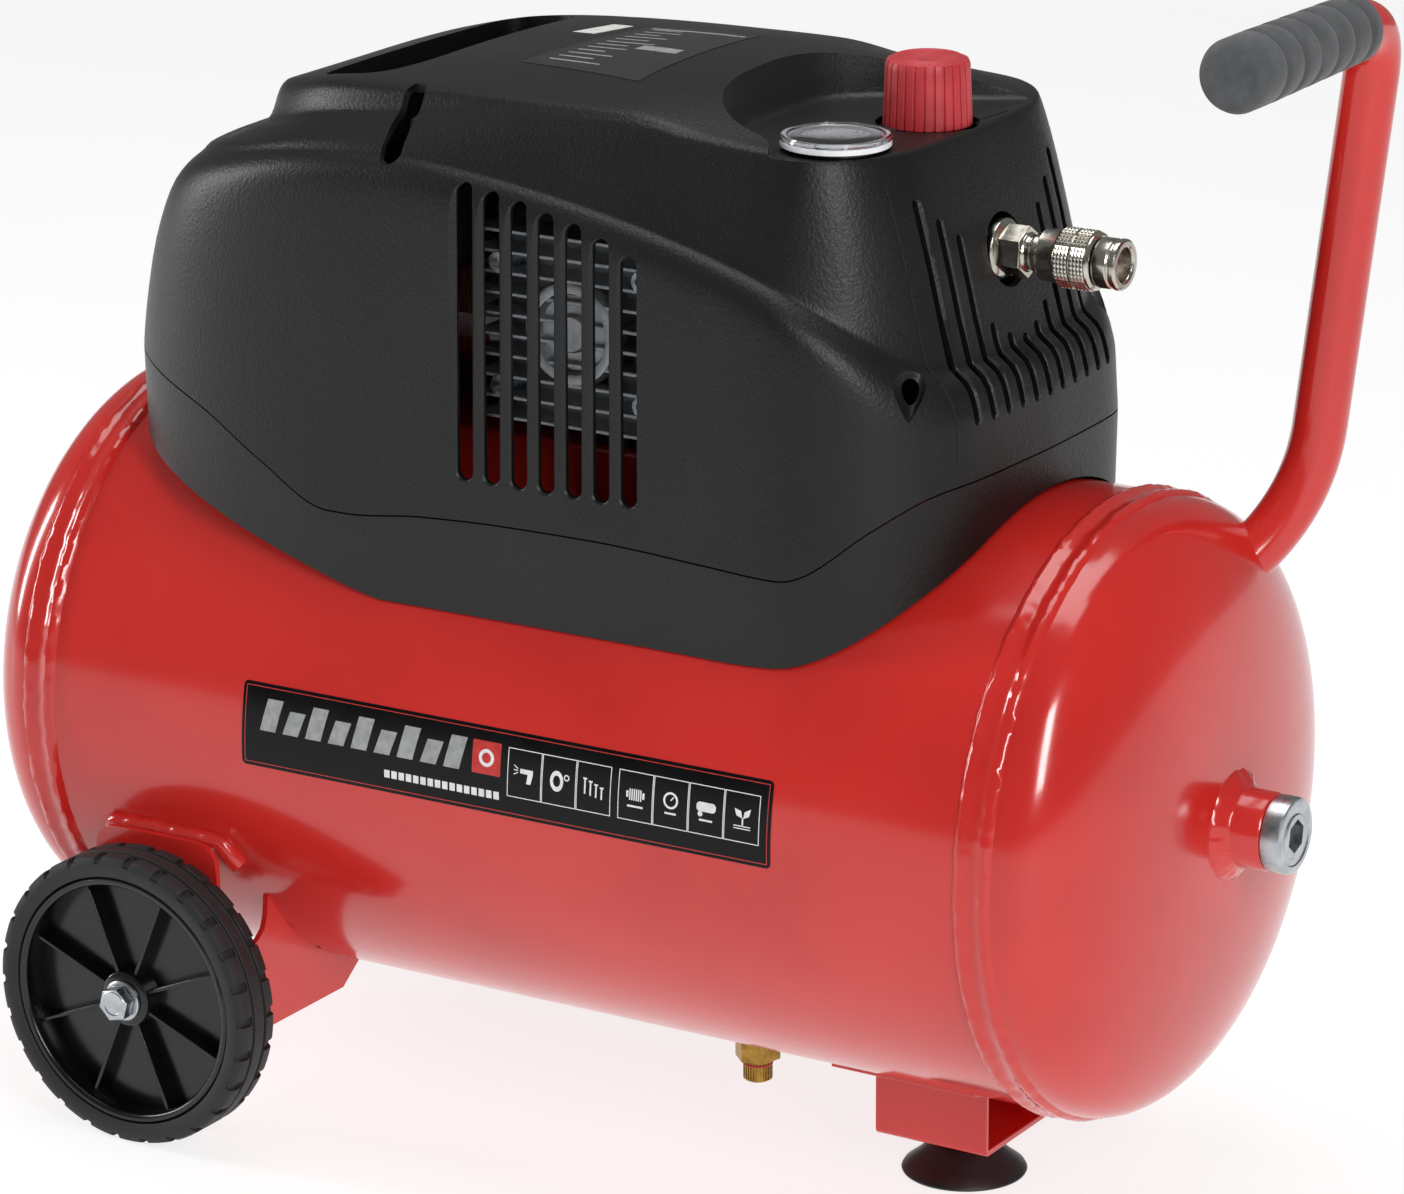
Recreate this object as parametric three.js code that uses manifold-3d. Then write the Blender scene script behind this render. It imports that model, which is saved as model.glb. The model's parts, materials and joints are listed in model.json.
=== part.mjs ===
// Portable oil-free air compressor: a horizontal air tank on two wheels and one rubber foot,
// a piston pump with its motor under a two-piece plastic cover, and a tubular tow handle.
// Millimetres, +Z up. X runs along the tank towards the handle, +Y is the rear.
import * as THREE from 'three';
import { mergeVertices } from 'three/addons/utils/BufferGeometryUtils.js';
import Module from 'manifold-3d';

const wasm = await Module();
wasm.setup();

// ---------------------------------------------------------------- driving dimensions
const gap = 0.3; // between pieces that touch
const sheet = 2.5; // folded steel brackets

const tankRadius = 125;
const tankWall = 2;
const seamSpacing = 434.3; // weld seam to weld seam
const headSkirt = 9.6; // straight flange of a dished head
const headDish = 44.6; // depth of its dish
const headPower = 2.38; // superellipse exponent of the dish
const groundClearance = 46;

const bungBossRadius = 18;
const bungBossLength = 17;
const bungBoreRadius = 10.3;
const bungFlangeRadius = 15.5;
const bungFlangeLength = 8.7;
const bungHexRadius = 6.9; // corner radius of the hexagon socket

const drainX = 52.3;
const drainBossRadius = 9.5;
const drainBossHeight = 7.5;
const drainBoreRadius = 5;
const drainHexRadius = 9.8;
const drainHexHeight = 9.2;
const drainStemRadius = 3;
const drainKnobRadius = 6.2;
const drainKnobHeight = 9.4;

const wheelRadius = 62.6;
const wheelWidth = 24;
const wheelTrack = 310; // outer face to outer face
const wheelInset = 55; // wheel axis from the left seam
const rimRadius = 53.2;
const rimLip = 3.2;
const hubRadius = 12;
const boltRadius = 4;
const boltHeadRadius = 7.5;
const boltHeadLength = 5.6;
const washerRadius = 8.6;
const washerThickness = 1.6;
const wheelBracketWidth = 80;
const wheelBracketBottom = 43;
const wheelBracketTop = 127;
const wheelBracketReach = 74; // from the wheel-side plate towards the middle

const footInset = 65.9; // foot axis from the right seam
const footRadius = 25.9;
const footHeight = 20;
const footNeckRadius = 9;
const footBracketLength = 51.5;
const footBracketWidth = 58;
const footFlangeOverhang = 15;

const tubeRadius = 11;
const tubeWall = 1.8;
const gripBeyondTank = 15.85; // grip axis past the tank's end
const handleTopHeight = 184.5; // grip axis above the tank's top
const handleLean = THREE.MathUtils.degToRad(7);
const handleRiserY = 76;
const handleTopBend = 22;
const handleLowBend = 30;
const handleFootReach = 52; // from the low bend's corner into the dished head
const handleInward = new THREE.Vector3(-0.6, -0.7, -0.83).normalize();
const gripFront = -53;
const gripRear = 52;
const gripFrontRadius = 14.7;
const gripRearRadius = 13.3;

const coverLength = 402;
const coverShift = -12.5; // cover's middle from the tank's middle
const coverWidth = 220;
const coverHeight = 159; // crown above the tank's top
const coverWall = 3;
const coverTankClearance = 1.5;
const slotPitch = 12.7;
const slotWidth = 7.3;
const slotCount = 7;
const slotMiddleX = 22;
const grilleCount = 11;
const grillePitch = 10.7;
const grilleSlotWidth = 3.9;

const recessLength = 140; // finger recess of the cover, across
const recessWidth = 34;
const recessDepth = 30;

const panelLength = 81; // lowered control panel at the cover's right end
const panelDrop = 17; // below the crown
const gaugeRadius = 21.8;
const gaugeHeight = 4.6; // stands above the panel
const gaugeFromEnd = 65; // from the cover's right end
const gaugeFromSide = 51;
const knobRadius = 17.8;
const knobHeight = 25.5;
const knobFromEnd = 58;

const outletHeight = 94; // coupler axis above the tank's top
const outletHoleRadius = 14.5;
const sleeveRadius = 12;
const sleeveLength = 24;
const collarRadius = 10.4;
const couplerBodyRadius = 8;
const couplerBoreRadius = 4.6;
const couplerReach = 30; // tip beyond the cover's right end

const crankHeight = 61; // motor and crank axis above the tank's top
const motorRadius = 46;
const rotorRadius = 26.8;
const shaftRadius = 6;
const bearingRadius = 15;
const pumpX = 22; // cylinder axis
const boreRadius = 22.3;
const pistonRadius = 21.8;
const stroke = 20;
const finPitch = 8.4;
const finCount = 10;

// ---------------------------------------------------------------- derived places
const axisHeight = groundClearance + tankRadius;
const tankTop = axisHeight + tankRadius;
const leftSeam = -seamSpacing / 2;
const rightSeam = seamSpacing / 2;
const tankEnd = rightSeam + headSkirt + headDish;
const handleTopX = tankEnd + gripBeyondTank;
const wheelX = leftSeam + wheelInset;
const footX = rightSeam - footInset;
const coverLeft = coverShift - coverLength / 2;
const coverRight = coverShift + coverLength / 2;
const coverSide = coverWidth / 2;
const crown = tankTop + coverHeight;
const panelZ = crown - panelDrop;
const panelLeft = coverRight - 36 - panelLength;
const gaugeX = coverRight - gaugeFromEnd;
const gaugeY = gaugeFromSide - coverSide;
const knobX = coverRight - knobFromEnd;
const outletZ = tankTop + outletHeight;
const couplerTip = coverRight + couplerReach;
const crankZ = tankTop + crankHeight;
const gripZ = tankTop + handleTopHeight;
const originShift = -(gripBeyondTank + gripFrontRadius) / 2; // puts X = 0 at the middle

// ---------------------------------------------------------------- materials
function finish(color, roughness, metalness) {
  return { color, roughness, metalness };
}

const redEnamel = finish(0xd0362f, 0.3, 0.1);
const blackPlastic = finish(0x2b2c2b, 0.6, 0);
const glossBlack = finish(0x17181a, 0.3, 0);
const rubber = finish(0x303133, 0.85, 0);
const foam = finish(0x4a4b4c, 0.9, 0);
const zinc = finish(0xb9bcc0, 0.3, 0.9);
const brass = finish(0xb08d4c, 0.35, 0.9);
const nickel = finish(0xc3bfb4, 0.25, 0.95);
const castAluminium = finish(0xa9adb1, 0.5, 0.8);
const steel = finish(0x8a8d90, 0.4, 0.9);
const lacquer = finish(0x7a3b24, 0.4, 0.3);
const redPlastic = finish(0xc42f38, 0.5, 0);
const clear = finish(0xe8eef0, 0.08, 0);
const needlePaint = finish(0x1d1d1f, 0.5, 0);

// ---------------------------------------------------------------- solids
function closed(source) {
  const geometry = source.index ? source.clone() : mergeVertices(source);
  geometry.deleteAttribute('normal');
  geometry.deleteAttribute('uv');
  const merged = mergeVertices(geometry, 1e-3);
  const old = merged.index.array;
  const kept = [];
  for (let i = 0; i < old.length; i += 3) {
    const [a, b, c] = [old[i], old[i + 1], old[i + 2]];
    if (a !== b && b !== c && c !== a) kept.push(a, b, c);
  }
  merged.setIndex(kept);
  return volume(merged) < 0 ? reversed(merged) : merged;
}

function volume(geometry) {
  const place = geometry.attributes.position;
  const index = geometry.index.array;
  const [a, b, c] = [new THREE.Vector3(), new THREE.Vector3(), new THREE.Vector3()];
  let total = 0;
  for (let i = 0; i < index.length; i += 3) {
    a.fromBufferAttribute(place, index[i]);
    b.fromBufferAttribute(place, index[i + 1]);
    c.fromBufferAttribute(place, index[i + 2]);
    total += a.dot(b.cross(c)) / 6;
  }
  return total;
}

function reversed(geometry) {
  const index = Array.from(geometry.index.array);
  for (let i = 0; i < index.length; i += 3) {
    [index[i], index[i + 1]] = [index[i + 1], index[i]];
  }
  geometry.setIndex(index);
  return geometry;
}

function toSolid(geometry) {
  const shape = closed(geometry);
  return new wasm.Manifold(new wasm.Mesh({
    numProp: 3,
    vertProperties: new Float32Array(shape.attributes.position.array),
    triVerts: new Uint32Array(shape.index.array),
  }));
}

function toGeometry(solid) {
  const mesh = solid.getMesh();
  const geometry = new THREE.BufferGeometry();
  geometry.setAttribute('position', new THREE.BufferAttribute(mesh.vertProperties, 3));
  geometry.setIndex(new THREE.BufferAttribute(mesh.triVerts, 1));
  return geometry;
}

function join(first, ...others) {
  return toGeometry(others.reduce((sum, one) => sum.add(toSolid(one)), toSolid(first)));
}

function cut(first, ...others) {
  return toGeometry(others.reduce((rest, one) => rest.subtract(toSolid(one)), toSolid(first)));
}

function overlap(first, ...others) {
  return toGeometry(others.reduce((rest, one) => rest.intersect(toSolid(one)), toSolid(first)));
}

function block([x0, x1], [y0, y1], [z0, z1]) {
  const geometry = new THREE.BoxGeometry(x1 - x0, y1 - y0, z1 - z0);
  return geometry.translate((x0 + x1) / 2, (y0 + y1) / 2, (z0 + z1) / 2);
}

// Turns a profile of [radius, along] points about the x, y or z axis through `centre`.
function turned(axis, centre, profile, segments = 24, start = 0) {
  const points = profile.map(([radius, along]) => new THREE.Vector2(radius, along));
  const geometry = new THREE.LatheGeometry(points, segments, start);
  if (axis === 'x') geometry.rotateZ(-Math.PI / 2);
  if (axis === 'z') geometry.rotateX(Math.PI / 2);
  return closed(geometry).translate(...centre);
}

function rod(axis, centre, radius, from, to, segments = 20, start = 0) {
  return turned(axis, centre, [[0, from], [radius, from], [radius, to], [0, to]], segments, start);
}

function ring(axis, centre, inner, outer, from, to, segments = 24) {
  const profile = [[inner, from], [outer, from], [outer, to], [inner, to], [inner, from]];
  return turned(axis, centre, profile, segments);
}

// An outline of [a, b, radius] corners, with the corners that have a radius rounded.
function outline(corners) {
  const shape = new THREE.Shape();
  const count = corners.length;
  corners.forEach(([a, b, radius = 0], i) => {
    const corner = new THREE.Vector2(a, b);
    const before = new THREE.Vector2(...corners[(i + count - 1) % count].slice(0, 2)).sub(corner);
    const after = new THREE.Vector2(...corners[(i + 1) % count].slice(0, 2)).sub(corner);
    const start = before.setLength(Math.min(radius, before.length() / 2)).add(corner);
    const end = after.setLength(Math.min(radius, after.length() / 2)).add(corner);
    if (i === 0) shape.moveTo(start.x, start.y);
    else shape.lineTo(start.x, start.y);
    if (radius > 0) shape.quadraticCurveTo(a, b, end.x, end.y);
  });
  shape.closePath();
  return shape;
}

const planes = {
  xy: new THREE.Matrix4(),
  xz: new THREE.Matrix4().makeBasis(
    new THREE.Vector3(1, 0, 0), new THREE.Vector3(0, 0, 1), new THREE.Vector3(0, -1, 0)),
  yz: new THREE.Matrix4().makeBasis(
    new THREE.Vector3(0, 1, 0), new THREE.Vector3(0, 0, 1), new THREE.Vector3(1, 0, 0)),
};

// Extrudes a shape drawn in one of the planes from `low` to `high` along the third axis.
function prism(plane, shape, low, high, curveSegments = 2) {
  const settings = { depth: high - low, bevelEnabled: false, curveSegments };
  const geometry = new THREE.ExtrudeGeometry(shape, settings);
  geometry.translate(0, 0, plane === 'xz' ? -high : low);
  return closed(geometry.applyMatrix4(planes[plane]));
}

function mirrored(geometry) {
  const copy = closed(geometry);
  copy.scale(1, -1, 1);
  return reversed(copy);
}

const meshes = [];

function add(name, geometry, look) {
  const mesh = new THREE.Mesh(closed(geometry), new THREE.MeshStandardMaterial(look));
  mesh.name = name;
  meshes.push(mesh);
  return mesh;
}

// ---------------------------------------------------------------- air tank
const tankCentre = [0, 0, axisHeight];
const tankSegments = 32;

function dishProfile(inset) {
  const profile = [];
  const steps = 5;
  for (let i = 0; i <= steps; i += 1) {
    const angle = (i / steps) * (Math.PI / 2);
    const radius = (tankRadius - inset) * Math.cos(angle) ** (2 / headPower);
    const along = (headDish - inset) * Math.sin(angle) ** (2 / headPower);
    profile.push([i === steps ? 0 : radius, headSkirt + along]);
  }
  return profile;
}

function headShell() {
  const outer = [[tankRadius, gap / 2], ...dishProfile(0)];
  const inner = [[tankRadius - tankWall, gap / 2], ...dishProfile(tankWall)].reverse();
  const shell = turned('x', [0, 0, 0], [...outer, ...inner, outer[0]], tankSegments);
  return shell;
}

// The whole tank as one filled body, grown by `extra`, for cutting what sits on it.
function tankFilled(extra) {
  const half = dishProfile(-extra).map(([radius, along]) => [radius, rightSeam + along]);
  const other = half.map(([radius, along]) => [radius, -along]).reverse();
  return turned('x', tankCentre, [...other, ...half], tankSegments);
}

function addTank() {
  const barrel = ring('x', tankCentre, tankRadius - tankWall, tankRadius,
    leftSeam + gap / 2, rightSeam - gap / 2, tankSegments);
  const drainHole = rod('z', [drainX, 0, 0], drainBoreRadius, groundClearance - 5, axisHeight);
  add('tank_barrel', cut(barrel, drainHole), redEnamel);

  const right = headShell().translate(rightSeam, 0, axisHeight);
  const left = headShell().rotateY(Math.PI).translate(leftSeam, 0, axisHeight);
  const bungHole = rod('x', tankCentre, bungBoreRadius, tankEnd - 20, tankEnd + 20);
  add('tank_head_right', cut(right, bungHole), redEnamel);
  add('tank_head_left', left, redEnamel);
}

function addBung() {
  const bossEnd = tankEnd + bungBossLength;
  const boss = ring('x', tankCentre, bungBoreRadius, bungBossRadius, tankEnd - 12, bossEnd);
  add('bung_boss', cut(boss, tankFilled(gap)), redEnamel);

  const flange = bossEnd + gap;
  const outer = flange + bungFlangeLength;
  const shank = bungBoreRadius - gap;
  const profile = [[0, tankEnd], [shank, tankEnd], [shank, flange], [bungFlangeRadius, flange],
    [bungFlangeRadius, outer - 1], [bungFlangeRadius - 1, outer], [0, outer]];
  const socket = rod('x', tankCentre, bungHexRadius, outer - 6, outer + 1, 6);
  add('bung_plug', cut(turned('x', tankCentre, profile), socket), zinc);
}

function addDrain() {
  const centre = [drainX, 0, 0];
  const bossBottom = groundClearance - drainBossHeight;
  const boss = ring('z', centre, drainBoreRadius, drainBossRadius, bossBottom, axisHeight / 2, 24);
  add('drain_boss', cut(boss, tankFilled(gap)), redEnamel);

  const hexTop = bossBottom - gap;
  const hexBottom = hexTop - drainHexHeight;
  const hex = rod('z', centre, drainHexRadius, hexBottom, hexTop, 6);
  const neck = rod('z', centre, drainBoreRadius - gap, hexTop - 1, groundClearance, 16);
  const stem = rod('z', centre, drainStemRadius, hexBottom - drainKnobHeight, hexBottom + 1, 16);
  add('drain_body', join(hex, neck, stem), brass);

  const knobTop = hexBottom - gap;
  const knob = ring('z', centre, drainStemRadius + gap, drainKnobRadius,
    knobTop - drainKnobHeight, knobTop, 24);
  add('drain_knob', knob, brass);
}

// ---------------------------------------------------------------- foot
function addFoot() {
  const centre = [footX, 0, 0];
  const top = footHeight - gap;
  const screwRadius = 3;
  const profile = [[0, 0], [footRadius, 0], [footRadius, 1.6], [footNeckRadius + 5, 13],
    [footNeckRadius, 15], [footNeckRadius, top], [screwRadius + gap, top], [screwRadius + gap, 7],
    [0, 7]];
  add('foot_pad', turned('z', centre, profile), rubber);

  const plateTop = footHeight + sheet + gap;
  const screw = [[0, 8], [screwRadius, 8], [screwRadius, plateTop], [6.5, plateTop],
    [6.5, plateTop + 4], [0, plateTop + 4]];
  add('foot_screw', turned('z', centre, screw, 18), zinc);

  const x0 = footX - footBracketLength / 2;
  const x1 = footX + footBracketLength / 2;
  const side = footBracketWidth / 2;
  const trough = outline([[-side, footHeight, 3], [side, footHeight, 3], [side, axisHeight],
    [side - sheet, axisHeight], [side - sheet, footHeight + sheet], [sheet - side, footHeight + sheet],
    [sheet - side, axisHeight], [-side, axisHeight]]);
  const flangeRing = ring('x', tankCentre, tankRadius + gap, tankRadius + gap + sheet,
    x0 - footFlangeOverhang, x1, tankSegments);
  const flangeReach = 10;
  const strip = block([x0 - footFlangeOverhang, x1], [side - flangeReach, side + flangeReach],
    [footHeight, axisHeight]);
  const walls = cut(prism('yz', trough, x0, x1, 3), tankFilled(gap));
  const rearFlange = overlap(flangeRing, strip);
  const screwHole = rod('z', centre, screwRadius + gap, 0, axisHeight, 16);
  add('foot_bracket', cut(join(walls, rearFlange, mirrored(rearFlange)), screwHole), redEnamel);
}

// ---------------------------------------------------------------- wheels, one side at a time
const wheelOuterY = -wheelTrack / 2;
const wheelInnerY = wheelOuterY + wheelWidth;
const hubOuterY = wheelOuterY + 3;
const hubInnerY = wheelInnerY + 5;
const plateY = hubInnerY + gap; // outer face of the wheel bracket
const wheelCentre = [wheelX, 0, wheelRadius];
const wheelSegments = 32;

function tyreShape() {
  const shoulder = 2.5;
  return turned('y', wheelCentre, [
    [rimRadius + gap, wheelOuterY + 1], [wheelRadius - shoulder, wheelOuterY],
    [wheelRadius, wheelOuterY + shoulder], [wheelRadius, wheelInnerY - shoulder],
    [wheelRadius - shoulder, wheelInnerY], [rimRadius + gap, wheelInnerY - 1],
    [rimRadius + gap, wheelOuterY + 1]], wheelSegments);
}

function rimShape() {
  const web = wheelOuterY + 12;
  const lip = rimRadius - rimLip;
  const hubBore = boltRadius + gap;
  const disc = turned('y', wheelCentre, [
    [hubBore, hubOuterY], [hubRadius, hubOuterY], [hubRadius, web],
    [lip, web], [lip, wheelOuterY + 1], [rimRadius, wheelOuterY + 1],
    [rimRadius, wheelInnerY - 1], [lip, wheelInnerY - 1], [lip, web + 3],
    [hubRadius, web + 3], [hubRadius, hubInnerY], [hubBore, hubInnerY],
    [hubBore, hubOuterY]], wheelSegments);
  const ribs = [];
  const ribCount = 8;
  for (let i = 0; i < ribCount; i += 1) {
    const rib = block([hubRadius - 2, lip + 1], [wheelOuterY + 5, web + 1], [-1, 1]);
    rib.rotateY((i / ribCount) * 2 * Math.PI + Math.PI / ribCount);
    ribs.push(rib.translate(...wheelCentre));
  }
  return join(disc, ...ribs);
}

function boltShape() {
  const seat = hubOuterY - washerThickness - 2 * gap;
  const shank = rod('y', wheelCentre, boltRadius, seat - 1, plateY + sheet + 12, 20);
  const head = rod('y', wheelCentre, boltHeadRadius, seat - boltHeadLength, seat, 6, Math.PI / 6);
  return join(shank, head);
}

function wheelBracketShape() {
  const left = wheelX - wheelBracketWidth / 2;
  const right = wheelX + wheelBracketWidth / 2;
  const [bottom, top] = [wheelBracketBottom, wheelBracketTop];
  const shoulder = bottom + 35;
  const face = outline([[left, bottom, 3], [right, bottom, 3], [right, shoulder],
    [right - 10, shoulder + 12, 6], [right - 10, top, 12], [left + 8, top, 12], [left + 8, shoulder + 12, 6],
    [left, shoulder]]);
  const plate = prism('xz', face, plateY, plateY + sheet, 4);
  const innerY = plateY + wheelBracketReach;
  const leg = outline([[plateY + 1, bottom], [innerY, bottom], [innerY + 14, bottom + 10],
    [innerY + 14, axisHeight], [plateY + 30, axisHeight], [plateY + 20, shoulder + 8, 6],
    [plateY + 1, shoulder]]);
  const nut = rod('y', wheelCentre, boltRadius * 1.9, plateY + sheet - 0.5, plateY + sheet + 6, 6);
  const shell = join(plate, prism('yz', leg, right - sheet, right), prism('yz', leg, left, left + sheet),
    nut);
  const hole = rod('y', wheelCentre, boltRadius + gap, plateY - 1, plateY + sheet + 8, 20);
  return cut(shell, hole, tankFilled(gap));
}

function addWheels() {
  const washer = ring('y', wheelCentre, boltRadius + gap, washerRadius,
    hubOuterY - washerThickness - gap, hubOuterY - gap, 24);
  const pieces = [
    ['wheel_tyre', tyreShape(), rubber],
    ['wheel_rim', rimShape(), glossBlack],
    ['wheel_bolt', boltShape(), zinc],
    ['wheel_washer', washer, zinc],
    ['wheel_bracket', wheelBracketShape(), redEnamel],
  ];
  for (const [name, shape, look] of pieces) {
    add(`${name}_front`, shape, look);
    add(`${name}_rear`, mirrored(shape), look);
  }
}

// ---------------------------------------------------------------- tow handle
const riserTop = gripZ - handleTopBend;

function handlePoint(y, z) {
  return new THREE.Vector3(handleTopX - Math.tan(handleLean) * (gripZ - z), y, z);
}

function addHandle() {
  const tubeFront = gripFront + 5;
  const corner = handlePoint(handleRiserY, tankTop - 10);
  const bendStart = corner.clone().addScaledVector(handleInward, handleLowBend);
  const tubeEnd = corner.clone().addScaledVector(handleInward, handleFootReach);
  const riserFoot = tankTop - 10 + handleLowBend;
  const path = new THREE.CurvePath();
  path.add(new THREE.LineCurve3(tubeEnd, bendStart));
  path.add(new THREE.QuadraticBezierCurve3(bendStart, corner, handlePoint(handleRiserY, riserFoot)));
  path.add(new THREE.LineCurve3(handlePoint(handleRiserY, riserFoot),
    handlePoint(handleRiserY, riserTop)));
  path.add(new THREE.QuadraticBezierCurve3(handlePoint(handleRiserY, riserTop),
    handlePoint(handleRiserY, gripZ), handlePoint(handleRiserY - handleTopBend, gripZ)));
  path.add(new THREE.LineCurve3(handlePoint(handleRiserY - handleTopBend, gripZ),
    handlePoint(tubeFront, gripZ)));
  const section = new THREE.Shape().absarc(0, 0, tubeRadius, 0, 2 * Math.PI);
  section.holes.push(new THREE.Path().absarc(0, 0, tubeRadius - tubeWall, 0, 2 * Math.PI, true));
  const tube = new THREE.ExtrudeGeometry(section,
    { extrudePath: path, steps: 26, curveSegments: 4, bevelEnabled: false });
  add('handle_tube', cut(tube, tankFilled(gap)), redEnamel);

  const bore = tubeRadius + gap;
  const centre = [handleTopX, 0, gripZ];
  const profile = [[0, gripFront], [gripFrontRadius - 5, gripFront], [gripFrontRadius, gripFront + 6],
    [gripRearRadius, gripRear], [bore, gripRear], [bore, tubeFront - gap], [0, tubeFront - gap]];
  add('handle_grip', turned('y', centre, profile, 20), foam);
}

// ---------------------------------------------------------------- cover
// Side view, front view and plan of the cover, each pulled in by `inset`.
function sideOutline(inset) {
  const left = coverLeft + inset;
  const right = coverRight - inset;
  const top = crown - inset;
  const low = tankTop - 90;
  return outline([[left, low], [right, low], [right, tankTop + 44, 8], [right - 12, tankTop + 58, 6],
    [right - 36, top - 15, 6], [right - 88, top - 4, 30], [right - 148, top, 40],
    [left + 194, top - 3, 40], [left + 89, top - 16, 20], [left + 56, top - 34, 12],
    [left + 27, top - 58, 18], [left + 5, tankTop + 30, 20], [left, tankTop + 12]]);
}

function frontOutline(inset) {
  const side = coverSide - inset;
  const top = crown - inset;
  const low = tankTop - 90;
  const right = [[side - 4, low], [side, tankTop - 18, 20], [side - 8, tankTop + 118, 20],
    [side - 26, top - 16, 14], [side - 60, top - 5, 30], [0, top, 30]];
  const left = right.slice(0, -1).map(([y, z, radius]) => [-y, z, radius]).reverse();
  return outline([...right, ...left]);
}

function planOutline(inset) {
  const left = coverLeft + inset;
  const right = coverRight - inset;
  const side = coverSide - inset;
  const rear = [[right, side - 46, 14], [right - 14, side - 24, 24], [right - 58, side, 26],
    [left + 90, side, 40], [left + 42, side - 6, 26], [left, side - 48, 30]];
  const front = rear.map(([x, y, radius]) => [x, -y, radius]).reverse();
  return outline([...rear, ...front]);
}

function coverBody(inset) {
  const [low, high] = [tankTop - 90, crown + 10];
  return overlap(
    prism('xz', sideOutline(inset), -coverSide - 5, coverSide + 5),
    prism('yz', frontOutline(inset), coverLeft - 5, coverRight + 5),
    prism('xy', planOutline(inset), low, high));
}

const recessX = coverLeft + 119; // middle of the finger recess
const partingHeight = -16; // of the joint between the two cover pieces, from the tank's top

// The joint between cover and skirt, as an outline that holds everything above it.
function aboveParting(shift) {
  const z = tankTop + shift;
  return outline([[coverLeft - 5, z + 27], [coverLeft + 39, z + 19], [coverLeft + 67, z + 11],
    [coverLeft + 97, z - 5], [coverLeft + 133, z + partingHeight - 6],
    [coverLeft + 178, z + partingHeight - 1], [coverLeft + 250, z + partingHeight],
    [coverRight - 58, z + partingHeight - 3], [coverRight - 30, z + 4], [coverRight + 5, z + 17],
    [coverRight + 5, crown + 20], [coverLeft - 5, crown + 20]]);
}

// Plan of the lowered control panel: open to the front and the right, with a ridge behind it.
function panelOutline(grow) {
  const x = panelLeft - grow;
  return outline([[x + 36, -coverSide], [coverRight, -coverSide], [coverRight, 56 + grow],
    [x + 58, 42 + grow], [x + 16, 30 + grow, 8], [x, 10 + grow, 12], [x, -45 - grow, 12],
    [x + 20, -68 - grow, 8]]);
}

function belowSkirt() {
  const z = tankTop;
  return outline([[coverLeft - 5, z - 9], [coverLeft + 14, z - 13], [coverLeft + 76, z - 33],
    [coverLeft + 148, z - 60], [coverRight + 5, z - 60], [coverRight + 5, z - 100],
    [coverLeft - 5, z - 100]]);
}

function frontSlots() {
  const slots = [];
  for (let i = 0; i < slotCount; i += 1) {
    const x = slotMiddleX + (i - (slotCount - 1) / 2) * slotPitch;
    const top = tankTop + 120 - 0.55 * i * i;
    const across = [x - slotWidth / 2, x + slotWidth / 2];
    slots.push(block(across, [-coverSide - 5, coverSide + 5], [tankTop + 1, top]));
  }
  return slots;
}

function endGrille() {
  const slots = [];
  const middle = (grilleCount - 1) / 2;
  for (let i = 0; i < grilleCount; i += 1) {
    const y = (i - middle) * grillePitch;
    const fromEdge = middle - Math.abs(i - middle);
    const top = tankTop + (fromEdge < 3 ? 122 - 8 * fromEdge : 64);
    const half = grilleSlotWidth / 2;
    slots.push(block([coverRight - 34, coverRight + 5], [y - half, y + half], [tankTop + 38, top]));
  }
  return slots;
}

const screwHoleRadius = 4.4;
// [end, x, z, depth of the screw's seat from the cover's side]
const screwPlaces = [
  ['right', coverRight - 20, tankTop + 56, 30],
  ['left', coverLeft + 159, tankTop + 134, 21.5],
];

function addCover() {
  const outer = coverBody(0);
  const recess = block([recessX - recessWidth / 2, recessX + recessWidth / 2],
    [-recessLength / 2, recessLength / 2], [crown - 17 - recessDepth, crown + 20]);
  const recessBox = block(
    [recessX - recessWidth / 2 - coverWall, recessX + recessWidth / 2 + coverWall],
    [-recessLength / 2 - coverWall, recessLength / 2 + coverWall],
    [crown - 17 - recessDepth - coverWall, crown + 20]);
  const panelCut = prism('xy', panelOutline(0), panelZ, crown + 20);
  const panelFloor = prism('xy', panelOutline(coverWall), panelZ - coverWall, crown + 20);
  const hollow = cut(coverBody(coverWall), recessBox, panelFloor);
  const shell = cut(outer, hollow, recess, panelCut, tankFilled(coverTankClearance));

  const holes = [
    rod('x', [0, 0, outletZ], outletHoleRadius, coverRight - 45, coverRight + 5),
    rod('z', [gaugeX, gaugeY, 0], gaugeRadius - 2, panelZ - 10, panelZ + 5),
    rod('z', [knobX, 0, 0], knobRadius + 1.2, panelZ - 10, panelZ + 5),
    ...screwPlaces.map(([, x, z]) => rod('y', [x, 0, z], screwHoleRadius, -coverSide - 5, coverSide + 5, 14)),
  ];
  const upper = overlap(shell, prism('xz', aboveParting(gap / 2), -coverSide - 5, coverSide + 5));
  add('cover_upper', cut(upper, ...frontSlots(), ...endGrille(), ...holes, ...rearHoles()), blackPlastic);

  const lower = cut(shell, prism('xz', aboveParting(-gap / 2), -coverSide - 5, coverSide + 5),
    prism('xz', belowSkirt(), -coverSide - 5, coverSide + 5));
  add('cover_skirt', lower, blackPlastic);
}

const switchX = coverRight - 110;
const switchZ = tankTop + 45;
const switchHalfWidth = 15;
const switchHalfHeight = 11;
const rockerTilt = THREE.MathUtils.degToRad(7); // either way from level
const glandX = coverLeft + 70;
const glandZ = tankTop + 25;
const glandRadius = 8;

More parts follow.
